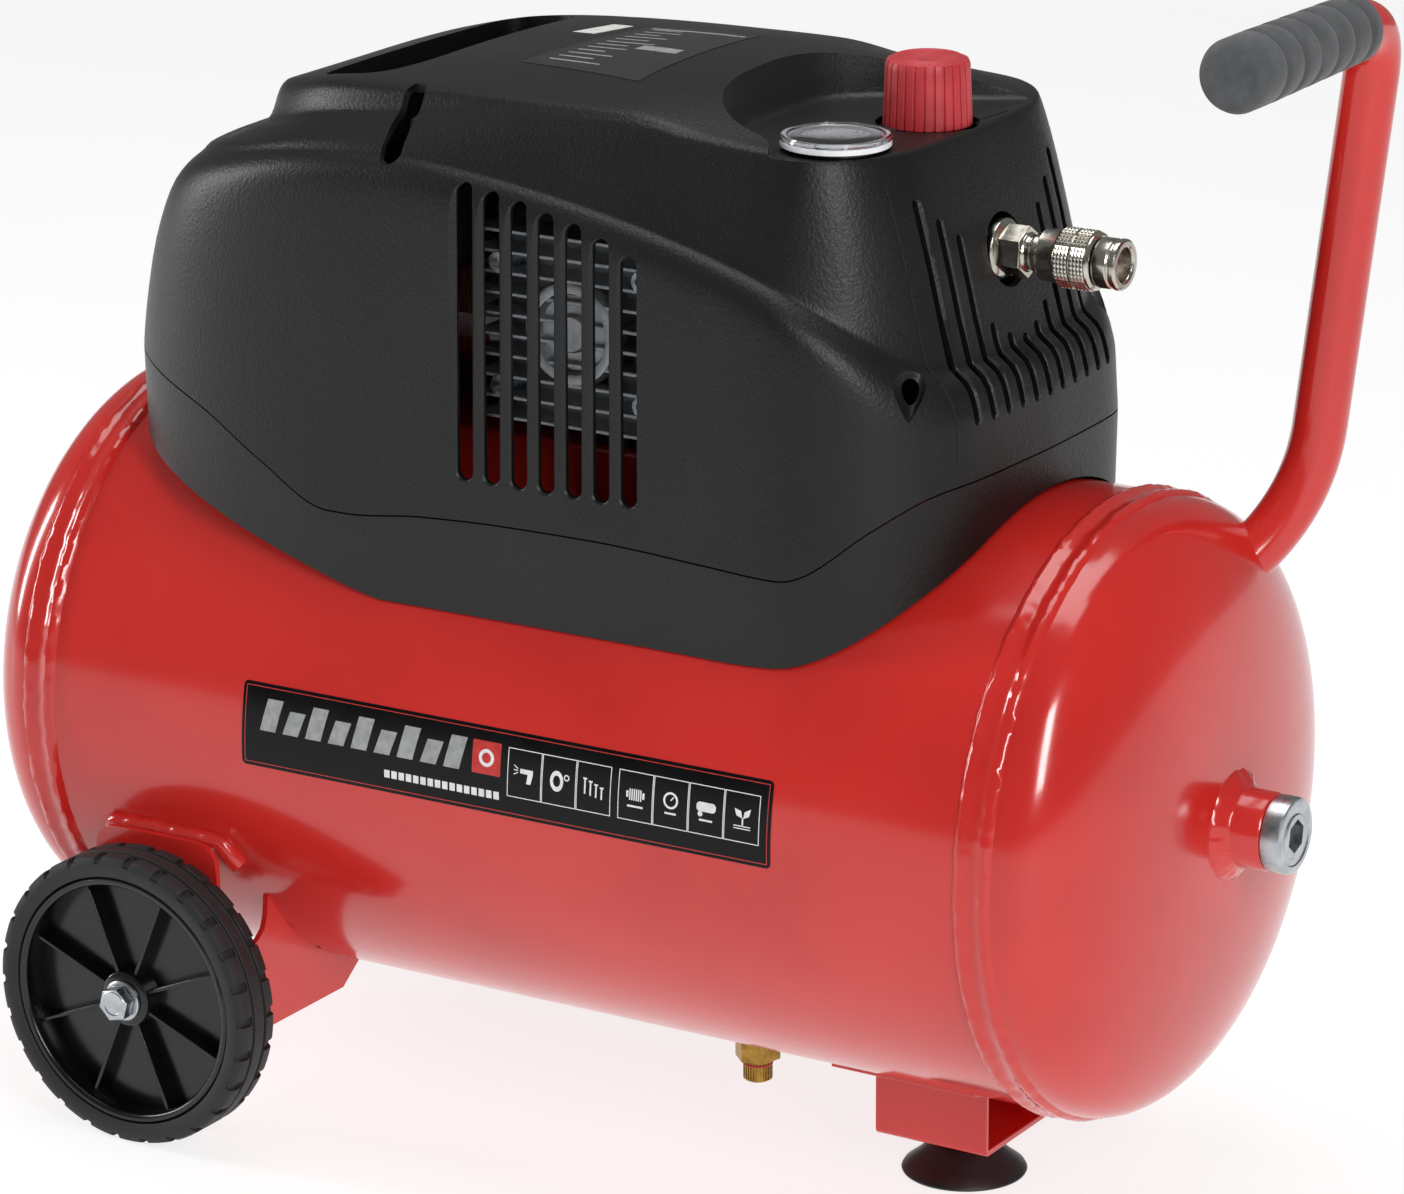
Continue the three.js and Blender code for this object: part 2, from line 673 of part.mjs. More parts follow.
function rearHoles() {
  return [
    block([switchX - switchHalfWidth, switchX + switchHalfWidth], [coverSide - 20, coverSide + 5],
      [switchZ - switchHalfHeight, switchZ + switchHalfHeight]),
    rod('y', [glandX, 0, glandZ], glandRadius + gap, coverSide - 30, coverSide + 5, 20),
  ];
}

function addCoverScrews() {
  for (const [side, x, z, depth] of screwPlaces) {
    const seat = depth - coverSide;
    const profile = [[0, seat - 3], [3.4, seat - 3], [3.8, seat], [1.9, seat], [1.9, seat + 16],
      [0, seat + 16]];
    const screw = turned('y', [x, 0, z], profile, 14);
    add(`cover_screw_front_${side}`, screw, steel);
    add(`cover_screw_rear_${side}`, mirrored(screw), steel);
  }
}

function addRearControls() {
  const y = coverSide + 1.5;
  const [w, h] = [switchHalfWidth - gap, switchHalfHeight - gap];
  const lip = block([switchX - w - 3, switchX + w + 3], [y, y + 1.5], [switchZ - h - 3, switchZ + h + 3]);
  const can = block([switchX - w, switchX + w], [y - 26, y + 1], [switchZ - h, switchZ + h]);
  const well = block([switchX - w + 2, switchX + w - 2], [y - 8, y + 5], [switchZ - h + 2, switchZ + h - 2]);
  add('switch_housing', cut(join(lip, can), well), glossBlack);

  const [rw, rh] = [w - 2.6, h - 3.4];
  const rocker = outline([[y - 5, switchZ - rh], [y + 2.8, switchZ - rh], [y + 0.8, switchZ],
    [y + 2.8, switchZ + rh], [y - 5, switchZ + rh]]);
  const pivot = new THREE.Vector3(switchX, y - 3, switchZ);
  const cap = prism('yz', rocker, switchX - rw, switchX + rw).translate(...pivot.clone().negate());
  add('power_rocker', cap.rotateX(-rockerTilt).translate(...pivot), redPlastic);

  const centre = [glandX, 0, glandZ];
  const outer = coverSide + 12;
  const inner = coverSide - 24;
  const glandProfile = [[4, inner], [glandRadius, inner], [glandRadius, coverSide + 1.5],
    [glandRadius + 2.5, coverSide + 1.5], [glandRadius + 2.5, coverSide + 4],
    [glandRadius - 1.5, outer], [4, outer], [4, inner]];
  add('cable_gland', turned('y', centre, glandProfile, 20), rubber);
}

// ---------------------------------------------------------------- gauge, regulator and coupler
function addGauge() {
  const centre = [gaugeX, gaugeY, 0];
  const can = gaugeRadius - 2.6;
  const seat = panelZ + gap;
  const caseProfile = [[0, panelZ - 20], [can, panelZ - 20], [can, seat], [gaugeRadius, seat],
    [gaugeRadius, seat + 2.2], [can - 1, seat + 2.2], [can - 1, seat + 0.8], [0, seat + 0.8]];
  add('gauge_case', turned('z', centre, caseProfile, 24), glossBlack);

  const lensTop = panelZ + gaugeHeight;
  const lensSeat = seat + 2.2 + gap;
  const lensProfile = [[0, lensSeat], [gaugeRadius, lensSeat], [gaugeRadius, lensTop - 0.8],
    [gaugeRadius - 1, lensTop], [0, lensTop]];
  add('gauge_lens', turned('z', centre, lensProfile, 24), clear);

  const needleBottom = seat + 0.8 + gap;
  const hub = rod('z', centre, 2.4, needleBottom, needleBottom + 0.8, 14);
  const reach = can - 3.5;
  const pointer = outline([[gaugeX - 1.1, gaugeY + 5], [gaugeX + 1.1, gaugeY + 5],
    [gaugeX + 0.4, gaugeY - reach], [gaugeX - 0.4, gaugeY - reach]]);
  add('gauge_needle', join(hub, prism('xy', pointer, needleBottom, needleBottom + 0.8)), needlePaint);
}

const regulatorHalf = 17;
const stemRadius = 5;

function addRegulator() {
  const body = block([knobX - regulatorHalf, knobX + regulatorHalf],
    [-regulatorHalf, regulatorHalf], [outletZ - 13, outletZ + 14]);
  const bonnet = rod('z', [knobX, 0, 0], 13, outletZ + 13, panelZ - 4, 28);
  const stem = rod('z', [knobX, 0, 0], stemRadius, panelZ - 5, panelZ + knobHeight - 8, 20);
  add('regulator_body', join(body, bonnet, stem), castAluminium);

  const bottom = panelZ + 1;
  const top = panelZ + knobHeight;
  const profile = [[stemRadius + gap, bottom], [knobRadius, bottom], [knobRadius - 0.8, top - 2],
    [knobRadius - 2.8, top], [0, top], [0, top - 7.5], [stemRadius + gap, top - 7.5],
    [stemRadius + gap, bottom]];
  add('regulator_knob', turned('z', [knobX, 0, 0], profile, 24), redPlastic);
}

const sleeveFrom = couplerTip - 11 - sleeveLength;

function addCoupler() {
  const centre = [0, 0, outletZ];
  const start = knobX + regulatorHalf + gap;
  const hexFrom = coverRight - 22;
  const ringFrom = sleeveFrom + sleeveLength + gap;
  const profile = [[couplerBoreRadius, start], [6.5, start], [6.5, hexFrom], [10, hexFrom],
    [10, hexFrom + 10], [couplerBodyRadius, hexFrom + 10], [couplerBodyRadius, ringFrom + 5],
    [collarRadius, ringFrom + 5], [collarRadius, couplerTip - 1], [collarRadius - 1, couplerTip],
    [couplerBoreRadius, couplerTip], [couplerBoreRadius, start]];
  add('coupler_body', turned('x', centre, profile, 20), nickel);

  const sleeve = ring('x', centre, couplerBodyRadius + gap, sleeveRadius, sleeveFrom,
    sleeveFrom + sleeveLength);
  add('coupler_sleeve', sleeve, nickel);
}

function addPressureSwitch() {
  const x = knobX - 2;
  const bottom = tankTop + 22;
  const top = outletZ - 13 - gap;
  const nipple = rod('z', [x, 0, 0], 7, tankTop - 4, bottom + 1, 20);
  const can = block([x - 15, x + 15], [-28, 28], [bottom, top]);
  add('pressure_switch', cut(join(can, nipple), tankFilled(gap)), blackPlastic);

  const valveZ = bottom + 14;
  const valveProfile = [[0, -60], [3, -60], [3, -47], [6.5, -47], [6.5, -28 - gap], [0, -28 - gap]];
  add('safety_valve', turned('y', [x, 0, valveZ], valveProfile, 16), brass);
  const pull = [];
  for (let i = 0; i <= 6; i += 1) {
    const angle = (i / 6) * 2 * Math.PI;
    pull.push([8 + 1.2 * Math.cos(angle), 1.2 * Math.sin(angle)]);
  }
  const loop = turned('z', [x, -69.8 - gap, valveZ], pull, 14);
  add('safety_ring', loop, steel);
}

// ---------------------------------------------------------------- pump
const saddleZ = tankTop + 3;
const footZ = saddleZ + sheet + 8 + 2 * gap; // underside of the pump's feet
const footHalfWidth = 52;
const statorFrom = coverLeft + 95;
const statorTo = pumpX - 72;
const bellFrom = statorFrom - 26;
const crankFlange = pumpX - 44;
const headFront = coverWall + 16 - coverSide; // fin tips of the cylinder head
const headBack = headFront + 22;
const pumpCentre = [0, 0, crankZ];
const cylinderCentre = [pumpX, 0, crankZ];

function addSaddle() {
  const side = footHalfWidth + 4;
  const top = saddleZ + sheet;
  const shape = outline([[-side, tankTop - 40], [-side, top, 2], [side, top, 2], [side, tankTop - 40],
    [side - sheet, tankTop - 40], [side - sheet, saddleZ], [sheet - side, saddleZ],
    [sheet - side, tankTop - 40]]);
  const from = bellFrom - 14;
  const to = pumpX + 34;
  add('pump_saddle', cut(prism('yz', shape, from, to, 3), tankFilled(gap)), redEnamel);

  const places = [['left', bellFrom + 3], ['right', pumpX - 6]];
  for (const [name, x] of places) {
    const strip = block([x - 8, x + 8], [-footHalfWidth, footHalfWidth], [top + gap, footZ - gap]);
    add(`rubber_mount_${name}`, strip, rubber);
  }
}

function addCrankcase() {
  const body = turned('x', pumpCentre, [
    [bearingRadius + gap, crankFlange], [motorRadius, crankFlange],
    [motorRadius, crankFlange + 6], [38, crankFlange + 6], [38, pumpX + 28], [34, pumpX + 28],
    [34, crankFlange + 6], [bearingRadius + gap, crankFlange + 6],
    [bearingRadius + gap, crankFlange]], 24);
  const rim = ring('x', pumpCentre, motorRadius - 3, motorRadius, statorTo + gap, crankFlange + 1);
  const foot = block([pumpX - 20, pumpX + 20], [-footHalfWidth, footHalfWidth], [footZ, footZ + 5]);
  const pillar = block([pumpX - 20, pumpX + 20], [-26, 26], [footZ, crankZ - 28]);
  const window = rod('y', cylinderCentre, boreRadius + 5 + gap, -60, 0, 28);
  const inside = rod('x', pumpCentre, 34, crankFlange + 6, pumpX + 30, 24);
  add('crankcase', cut(join(body, rim, cut(join(foot, pillar), inside)), window), castAluminium);
}

function addCylinder() {
  const wall = boreRadius + 5;
  const profile = [[boreRadius, -30], [wall, -30], [wall, -41]];
  const end = headBack + gap;
  const finStep = 8;
  for (let y = -44; y - 2 > end + 2; y -= finStep) {
    profile.push([wall, y], [wall + 8, y], [wall + 8, y - 2], [wall, y - 2]);
  }
  profile.push([wall, end], [boreRadius, end], [boreRadius, -30]);
  add('cylinder', turned('y', cylinderCentre, profile, 18), castAluminium);

  const comb = [[headBack, crankZ - 36]];
  const back = headBack - 8;
  for (let i = 0; i < finCount; i += 1) {
    const z = crankZ + (i - (finCount - 1) / 2) * finPitch;
    comb.push([back, z - 1.2], [headFront, z - 1.2], [headFront, z + 1.2], [back, z + 1.2]);
  }
  comb.push([headBack, crankZ + 36]);
  add('cylinder_head', prism('yz', outline(comb), pumpX - 44, pumpX + 44), castAluminium);

  const filter = [[0, pumpX - 80], [15, pumpX - 80], [17, pumpX - 77], [17, pumpX - 56],
    [5, pumpX - 54], [5, pumpX - 44 - gap], [0, pumpX - 44 - gap]];
  add('air_filter', turned('x', [0, headFront + 17, crankZ + 34], filter, 20), blackPlastic);
}

function addPiston() {
  const crownY = headBack + 2;
  const disc = rod('y', cylinderCentre, pistonRadius, crownY, crownY + 12, 28);
  const bigEnd = rod('x', [0, -stroke / 2, crankZ], 14, pumpX - 5, pumpX + 5, 24);
  const rodBar = block([pumpX - 4, pumpX + 4], [crownY + 10, -stroke / 2 - 8], [crankZ - 6, crankZ + 6]);
  const eye = rod('x', [0, -stroke / 2, crankZ], 8, pumpX - 6, pumpX + 6, 20);
  add('piston_and_rod', cut(join(disc, rodBar, bigEnd), eye), castAluminium);
}

function addMotor() {
  const winding = 16;
  const stator = turned('x', pumpCentre, [
    [rotorRadius + 0.6, statorFrom], [30, statorFrom], [30, statorFrom - winding],
    [41, statorFrom - winding], [41, statorFrom], [motorRadius, statorFrom], [motorRadius, statorTo],
    [41, statorTo], [41, statorTo + winding], [30, statorTo + winding], [30, statorTo],
    [rotorRadius + 0.6, statorTo], [rotorRadius + 0.6, statorFrom]], 24);
  add('motor_stator', stator, lacquer);

  const bell = turned('x', pumpCentre, [
    [bearingRadius + gap, bellFrom - 6], [19, bellFrom - 6], [19, bellFrom], [motorRadius, bellFrom],
    [motorRadius, statorFrom - gap], [motorRadius - 3, statorFrom - gap],
    [motorRadius - 3, bellFrom + 5], [bearingRadius + gap, bellFrom + 5],
    [bearingRadius + gap, bellFrom - 6]], 24);
  const foot = block([bellFrom - 6, bellFrom + 12], [-footHalfWidth, footHalfWidth], [footZ, footZ + 4]);
  const web = block([bellFrom, bellFrom + 5], [-30, 30], [footZ, crankZ - 30]);
  add('motor_end_bell', join(bell, foot, web), castAluminium);

  const shaftRight = pumpX - 9;
  const fanX = bellFrom - 26;
  add('motor_shaft', rod('x', pumpCentre, shaftRadius, fanX - 3, shaftRight, 20), steel);
  const bore = shaftRadius + gap;
  add('motor_rotor', ring('x', pumpCentre, bore, rotorRadius, statorFrom, statorTo), steel);
  const race = bearingRadius;
  add('bearing_left', ring('x', pumpCentre, bore, race, bellFrom - 5, bellFrom + 4, 24), steel);
  add('bearing_right', ring('x', pumpCentre, bore, race, crankFlange - 2, crankFlange + 7, 24), steel);

  const weight = outline([[-22, crankZ - 6, 6], [-22, crankZ + 6, 6], [0, crankZ + 20, 8],
    [20, crankZ + 20, 10], [26, crankZ, 14], [20, crankZ - 20, 10], [0, crankZ - 20, 8]]);
  const hole = rod('x', pumpCentre, bore, pumpX - 40, pumpX, 20);
  add('crank_eccentric', cut(prism('yz', weight, crankFlange + 12, pumpX - 9), hole), steel);

  const hub = ring('x', pumpCentre, bore, 14, fanX, fanX + 14, 24);
  const blades = [];
  const bladeCount = 7;
  for (let i = 0; i < bladeCount; i += 1) {
    const blade = new THREE.BoxGeometry(2, 18, 34);
    blade.rotateZ(Math.PI / 4);
    blade.translate(fanX + 7, 0, 12 + 17);
    blade.rotateX((i / bladeCount) * 2 * Math.PI);
    blades.push(blade.translate(...pumpCentre));
  }
  add('cooling_fan', join(hub, ...blades), blackPlastic);
}

function addDelivery() {
  const valveX = pumpX + 46;
  const valveCentre = [valveX, 0, 0];
  const valveTop = tankTop + 30;
  const hex = rod('z', valveCentre, 10, tankTop + 6, valveTop, 6);
  const nipple = rod('z', valveCentre, 6, tankTop - 4, tankTop + 7, 16);
  add('check_valve', cut(join(hex, nipple), tankFilled(gap)), brass);

  const portX = pumpX + 39.5;
  const portZ = crankZ - 14;
  const entry = -10.5 - gap;
  const path = new THREE.CatmullRomCurve3([
    new THREE.Vector3(portX, headBack + 3 * gap, portZ), new THREE.Vector3(portX, headBack + 8, portZ),
    new THREE.Vector3(portX + 1, headBack + 20, portZ - 12),
    new THREE.Vector3(valveX, entry - 12, tankTop + 20), new THREE.Vector3(valveX, entry, tankTop + 18)]);
  const section = new THREE.Shape().absarc(0, 0, 3.6, 0, 2 * Math.PI);
  const pipe = new THREE.ExtrudeGeometry(section,
    { extrudePath: path, steps: 14, curveSegments: 4, bevelEnabled: false });
  add('delivery_pipe', pipe, castAluminium);
}

// ---------------------------------------------------------------- assembly
addTank();
addBung();
addDrain();
addFoot();
addWheels();
addHandle();
addCover();
addCoverScrews();
addRearControls();
addGauge();
addRegulator();
addCoupler();
addPressureSwitch();
addSaddle();
addCrankcase();
addCylinder();
addPiston();
addMotor();
addDelivery();

const compressor = new THREE.Group();
compressor.add(...meshes);
compressor.position.x = originShift;

export default compressor;
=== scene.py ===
"""Looks for a portable air compressor: enamelled tank, moulded cover, wheels, handle and fittings.

Every shape is drawn in millimetres in the row frame and turned to metres when its piece is made.
"""
import json
import math

import bmesh
import bpy
from mathutils import Matrix, Vector, noise

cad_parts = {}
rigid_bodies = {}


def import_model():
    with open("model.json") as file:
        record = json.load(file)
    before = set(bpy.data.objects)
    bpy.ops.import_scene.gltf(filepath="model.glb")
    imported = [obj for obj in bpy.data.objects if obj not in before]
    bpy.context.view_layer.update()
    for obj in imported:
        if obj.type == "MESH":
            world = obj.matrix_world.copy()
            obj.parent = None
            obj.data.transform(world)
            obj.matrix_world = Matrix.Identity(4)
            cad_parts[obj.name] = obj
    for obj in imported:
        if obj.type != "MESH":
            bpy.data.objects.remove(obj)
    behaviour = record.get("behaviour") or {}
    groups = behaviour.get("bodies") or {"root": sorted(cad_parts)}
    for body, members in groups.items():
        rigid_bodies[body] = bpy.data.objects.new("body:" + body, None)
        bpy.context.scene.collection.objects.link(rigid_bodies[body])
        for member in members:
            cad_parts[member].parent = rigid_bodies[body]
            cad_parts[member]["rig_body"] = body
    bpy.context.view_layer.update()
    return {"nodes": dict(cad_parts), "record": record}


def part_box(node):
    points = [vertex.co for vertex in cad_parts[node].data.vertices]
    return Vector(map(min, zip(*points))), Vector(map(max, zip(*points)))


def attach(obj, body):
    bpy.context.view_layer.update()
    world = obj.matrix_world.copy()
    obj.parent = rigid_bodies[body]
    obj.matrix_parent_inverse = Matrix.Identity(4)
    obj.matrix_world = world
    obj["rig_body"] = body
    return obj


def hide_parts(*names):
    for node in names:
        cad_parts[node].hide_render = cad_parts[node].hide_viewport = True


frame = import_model()

MM = 0.001
PIECE_BODY = "chassis"


# ------------------------------------------------------------------ places from the frame
def span(node):
    """The x, y and z spans of a CAD node, in millimetres."""
    low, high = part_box(node)
    return [(low[i] / MM, high[i] / MM) for i in range(3)]


def middle(pair):
    return (pair[0] + pair[1]) / 2


def half_of(pair):
    return (pair[1] - pair[0]) / 2


BARREL = span("tank_barrel")
LEFT_SEAM, RIGHT_SEAM = BARREL[0]
TANK_R = half_of(BARREL[2])
AXIS_Z = middle(BARREL[2])
TANK_TOP = BARREL[2][1]
HEAD_END = span("tank_head_right")[0][1]

COVER_RIGHT = span("cover_skirt")[0][1]
COVER_SIDE = span("cover_upper")[1][1]

GAUGE = span("gauge_lens")
GAUGE_X, GAUGE_Y = middle(GAUGE[0]), middle(GAUGE[1])
GAUGE_R = half_of(GAUGE[0])
KNOB = span("regulator_knob")
KNOB_X = middle(KNOB[0])
KNOB_R = half_of(KNOB[0])
PANEL_Z = KNOB[2][0] - 1
SLEEVE = span("coupler_sleeve")
OUTLET_Z = middle(SLEEVE[2])
COUPLER = span("coupler_body")
HEAD_FINS = span("cylinder_head")
PUMP_X = middle(HEAD_FINS[0])
CRANK_Z = middle(HEAD_FINS[2])


# ------------------------------------------------------------------ small tools
MERGE = 1e-4
TINY = 1e-6
FULL_TURN = 2 * math.pi
SQUARE_TO = {"x": (1, 2), "y": (0, 2), "z": (0, 1)}


def faced_out(bm):
    bmesh.ops.recalc_face_normals(bm, faces=bm.faces)


def tidy_mesh(bm):
    bmesh.ops.remove_doubles(bm, verts=bm.verts, dist=MERGE)
    faced_out(bm)


def resized(bm, factor=MM):
    bmesh.ops.scale(bm, vec=(factor, factor, factor), verts=bm.verts)


def object_of(name, bm, finish=None):
    """An object in the scene made of a drawn mesh, which is used up."""
    mesh = bpy.data.meshes.new(name)
    bm.to_mesh(mesh)
    bm.free()
    if finish:
        mesh.materials.append(finish)
    made = bpy.data.objects.new(name, mesh)
    bpy.context.scene.collection.objects.link(made)
    return made


def take_in(whole, bm):
    """Adds one drawn mesh to another, and uses it up."""
    mesh = bpy.data.meshes.new("shape")
    bm.to_mesh(mesh)
    bm.free()
    whole.from_mesh(mesh)
    bpy.data.meshes.remove(mesh)


def points_in(made):
    """The points among the geometry that an operator made."""
    return [v for v in made["geom"] if isinstance(v, bmesh.types.BMVert)]


def piece(name, bm, finish, body=PIECE_BODY, slot=None, replaces=(), bevel=0, segments=2,
          angle=30, tidy=True):
    """Makes an object of a mesh drawn in millimetres, and hands it to the frame."""
    if tidy:
        tidy_mesh(bm)
    resized(bm)
    made = object_of(name, bm, finish)
    finish_edges(made, bevel, segments, angle)
    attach(made, body)
    if replaces:
        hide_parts(*replaces)
    return made


def finish_edges(made, bevel=0, segments=2, angle=30):
    """Breaks the sharp edges and shades the rest smoothly."""
    if bevel:
        edge = made.modifiers.new("edge_radius", "BEVEL")
        edge.width = bevel * MM
        edge.segments = segments
        edge.limit_method = "ANGLE"
        edge.angle_limit = math.radians(angle)
        edge.harden_normals = False
    made.data.shade_smooth()
    made.data.set_sharp_from_angle(angle=math.radians(angle))


def turned(profile, axis, centre, steps=64):
    """Spins a profile of (radius, along) points about an axis through centre."""
    bm = bmesh.new()
    add_turned(bm, profile, axis, centre, steps)
    return bm


def add_turned(bm, profile, axis, centre, steps=64):
    along = Vector([1.0 if name == axis else 0.0 for name in "xyz"])
    outward = Vector((0, 0, 1)) if axis != "z" else Vector((1, 0, 0))
    middle_point = Vector(centre)
    ring = [bm.verts.new(middle_point + along * a + outward * r) for r, a in profile]
    edges = [bm.edges.new(pair) for pair in zip(ring, ring[1:])]
    ends_on_axis = profile[0][0] < TINY and profile[-1][0] < TINY
    if not ends_on_axis and (ring[0].co - ring[-1].co).length > TINY:
        edges.append(bm.edges.new((ring[-1], ring[0])))
    bmesh.ops.spin(bm, geom=ring + edges, cent=middle_point, axis=along,
                   angle=FULL_TURN, steps=steps, use_merge=True)
    bmesh.ops.remove_doubles(bm, verts=bm.verts, dist=MERGE)


def extruded(points, lift):
    """A prism from an outline of points, moved by the vector lift."""
    bm = bmesh.new()
    add_extruded(bm, points, lift)
    return bm


def add_extruded(bm, points, lift):
    face = bm.faces.new([bm.verts.new(Vector(p)) for p in points])
    lifted = bmesh.ops.extrude_face_region(bm, geom=[face], use_keep_orig=True)
    bmesh.ops.translate(bm, vec=Vector(lift), verts=points_in(lifted))


def circle_points(centre, radius, axis, count, turn=0.0):
    """Points of a circle or regular polygon square to an axis."""
    a, b = SQUARE_TO[axis]
    points = []
    for i in range(count):
        angle = turn + FULL_TURN * i / count
        point = list(centre)
        point[a] += radius * math.cos(angle)
        point[b] += radius * math.sin(angle)
        points.append(point)
    return points


def add_box(bm, xs, ys, zs):
    made = bmesh.ops.create_cube(bm, size=1.0)
    verts = made["verts"]
    bmesh.ops.scale(bm, vec=(xs[1] - xs[0], ys[1] - ys[0], zs[1] - zs[0]), verts=verts)
    bmesh.ops.translate(bm, vec=(middle(xs), middle(ys), middle(zs)), verts=verts)
    return verts


def eased(points):
    """A smooth curve through (x, value) points, level beyond its ends."""
    xs = [p[0] for p in points]
    vs = [p[1] for p in points]
    last = len(xs) - 1
    steps = [(vs[i + 1] - vs[i]) / (xs[i + 1] - xs[i]) for i in range(last)]
    slopes = [steps[0]] + [0.0] * (last - 1) + [steps[-1]]
    for i in range(1, last):
        before, after = steps[i - 1], steps[i]
        slopes[i] = 0.0 if before * after <= 0 else 2 * before * after / (before + after)

    def at(x):
        if x <= xs[0]:
            return vs[0]
        if x >= xs[-1]:
            return vs[-1]
        i = next(k for k in range(last) if x <= xs[k + 1])
        width = xs[i + 1] - xs[i]
        t = (x - xs[i]) / width
        return ((1 + 2 * t) * (1 - t) ** 2 * vs[i] + t * (1 - t) ** 2 * width * slopes[i]
                + t * t * (3 - 2 * t) * vs[i + 1] + t * t * (t - 1) * width * slopes[i + 1])
    return at


def bridged(rings):
    """A surface through closed rings of the same number of points."""
    bm = bmesh.new()
    before = None
    loops = []
    for ring in rings:
        verts = [bm.verts.new(p) for p in ring]
        edges = [bm.edges.new((verts[i], verts[i - 1])) for i in range(len(verts))]
        if before:
            bmesh.ops.bridge_loops(bm, edges=before + edges)
        before = edges
        loops.append(verts)
    return bm, loops


def capped_rings(rings):
    """A filled shape through closed rings."""
    bm, loops = bridged(rings)
    bm.faces.new(loops[0])
    bm.faces.new(loops[-1])
    return bm


def swept(path, radius, count=32):
    """A round bar along a path of points."""
    rings = []
    first = (path[1] - path[0]).normalized()
    side = Vector((1, 0, 0)) if abs(first.x) < 0.9 else Vector((0, 0, 1))
    for i, point in enumerate(path):
        ahead = path[min(i + 1, len(path) - 1)] - path[max(i - 1, 0)]
        ahead.normalize()
        side = (side - ahead * side.dot(ahead)).normalized()
        other = ahead.cross(side)
        ring = []
        for k in range(count):
            angle = FULL_TURN * k / count
            ring.append(point + (side * math.cos(angle) + other * math.sin(angle)) * radius)
        rings.append(ring)
    return capped_rings(rings)


def rounded_path(corners, steps=10):
    """A path through (point, radius) corners, each turned on a soft bend."""
    path = [corners[0][0]]
    for i in range(1, len(corners) - 1):
        corner, reach = corners[i]
        start = corner + (corners[i - 1][0] - corner).normalized() * reach
        end = corner + (corners[i + 1][0] - corner).normalized() * reach
        for k in range(steps + 1):
            t = k / steps
            path.append(start * (1 - t) ** 2 + corner * 2 * t * (1 - t) + end * t * t)
    path.append(corners[-1][0])
    return path


def lumpy(bm, depth, lump, picked=None):
    """Moves points in and out a little, as a bead laid by hand."""
    bm.normal_update()
    for v in picked or bm.verts:
        swell = noise.noise(v.co / lump) + 0.5 * noise.noise(v.co / (lump * 0.45))
        v.co += v.normal * swell * depth


def settled(made):
    """Applies a piece's modifiers."""
    bpy.context.view_layer.update()
    shown = made.evaluated_get(bpy.context.evaluated_depsgraph_get())
    mesh = bpy.data.meshes.new_from_object(shown)
    made.modifiers.clear()
    old = made.data
    made.data = mesh
    bpy.data.meshes.remove(old)


def taken_from(made, tool):
    """Cuts one object out of another, and removes the tool."""
    cut = made.modifiers.new("cut", "BOOLEAN")
    cut.operation = "DIFFERENCE"
    cut.solver = "EXACT"
    cut.object = tool
    settled(made)
    mesh = tool.data
    bpy.data.objects.remove(tool)
    bpy.data.meshes.remove(mesh)
    return made


def refined(node, finish, bevel, slot, inward=0):
    """A copy of a CAD node with its edges broken, which stands for it."""
    bm = bmesh.new()
    bm.from_mesh(frame["nodes"][node].data)
    resized(bm, 1 / MM)
    bmesh.ops.remove_doubles(bm, verts=bm.verts, dist=1e-3)
    bmesh.ops.dissolve_limit(bm, angle_limit=math.radians(1), verts=bm.verts, edges=bm.edges)
    bmesh.ops.translate(bm, vec=(0, inward, 0), verts=bm.verts)
    piece(node + "_finished", bm, finish, frame["nodes"][node]["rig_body"], slot, [node], bevel,
          tidy=False)


# ------------------------------------------------------------------ materials
def srgb(code):
    """An sRGB hex colour as linear red, green and blue."""
    values = [int(code[i:i + 2], 16) / 255 for i in (1, 3, 5)]
    linear = [v / 12.92 if v <= 0.04045 else ((v + 0.055) / 1.055) ** 2.4 for v in values]
    return (*linear, 1.0)


def node(tree, kind, settings=None, **sockets):
    """Adds a shader node, with its settings, and its sockets' values or links."""
    made = tree.nodes.new("ShaderNode" + kind)
    for key, value in (settings or {}).items():
        setattr(made, key, value)
    for key, value in sockets.items():
        socket = made.inputs[int(key[1:])] if key[0] == "_" else made.inputs[key.replace("_", " ")]
        if isinstance(value, bpy.types.NodeSocket):
            tree.links.new(value, socket)
        else:
            socket.default_value = value
    return made


def started(name, **sockets):
    """A new material with its shader's fixed values."""
    material = bpy.data.materials.new(name)
    material.use_nodes = True
    tree = material.node_tree
    shader = tree.nodes["Principled BSDF"]
    for key, value in sockets.items():
        shader.inputs[key.replace("_", " ")].default_value = value
    place = node(tree, "TexCoord").outputs["Object"]
    return material, tree, shader, place


def per_mm(size):
    """The texture scale whose features are about this many millimetres."""
    return 1 / (size * MM)


WAVE_RATE = 6.28  # A wave texture repeats this much faster than its scale says.


def ramp(tree, fac, stops):
    """A colour ramp of (position, hex colour) stops."""
    made = node(tree, "ValToRGB", Fac=fac)
    elements = made.color_ramp.elements
    while len(elements) < len(stops):
        elements.new(0.5)
    for element, (position, code) in zip(elements, stops):
        element.position = position
        element.color = srgb(code)
    return made.outputs["Color"]


def spread(tree, value, low, high):
    """Maps a 0.3 to 0.7 texture value onto low to high."""
    made = node(tree, "MapRange", _0=value, _1=0.3, _2=0.7, _3=low, _4=high)
    return made.outputs["Result"]


def toned(tree, shader, texture, stops, low, high, rough_by=None):
    """Colours a shader by a texture, and sets its roughness by that or another one."""
    tree.links.new(ramp(tree, texture, stops), shader.inputs["Base Color"])
    rough = spread(tree, rough_by or texture, low, high)
    tree.links.new(rough, shader.inputs["Roughness"])


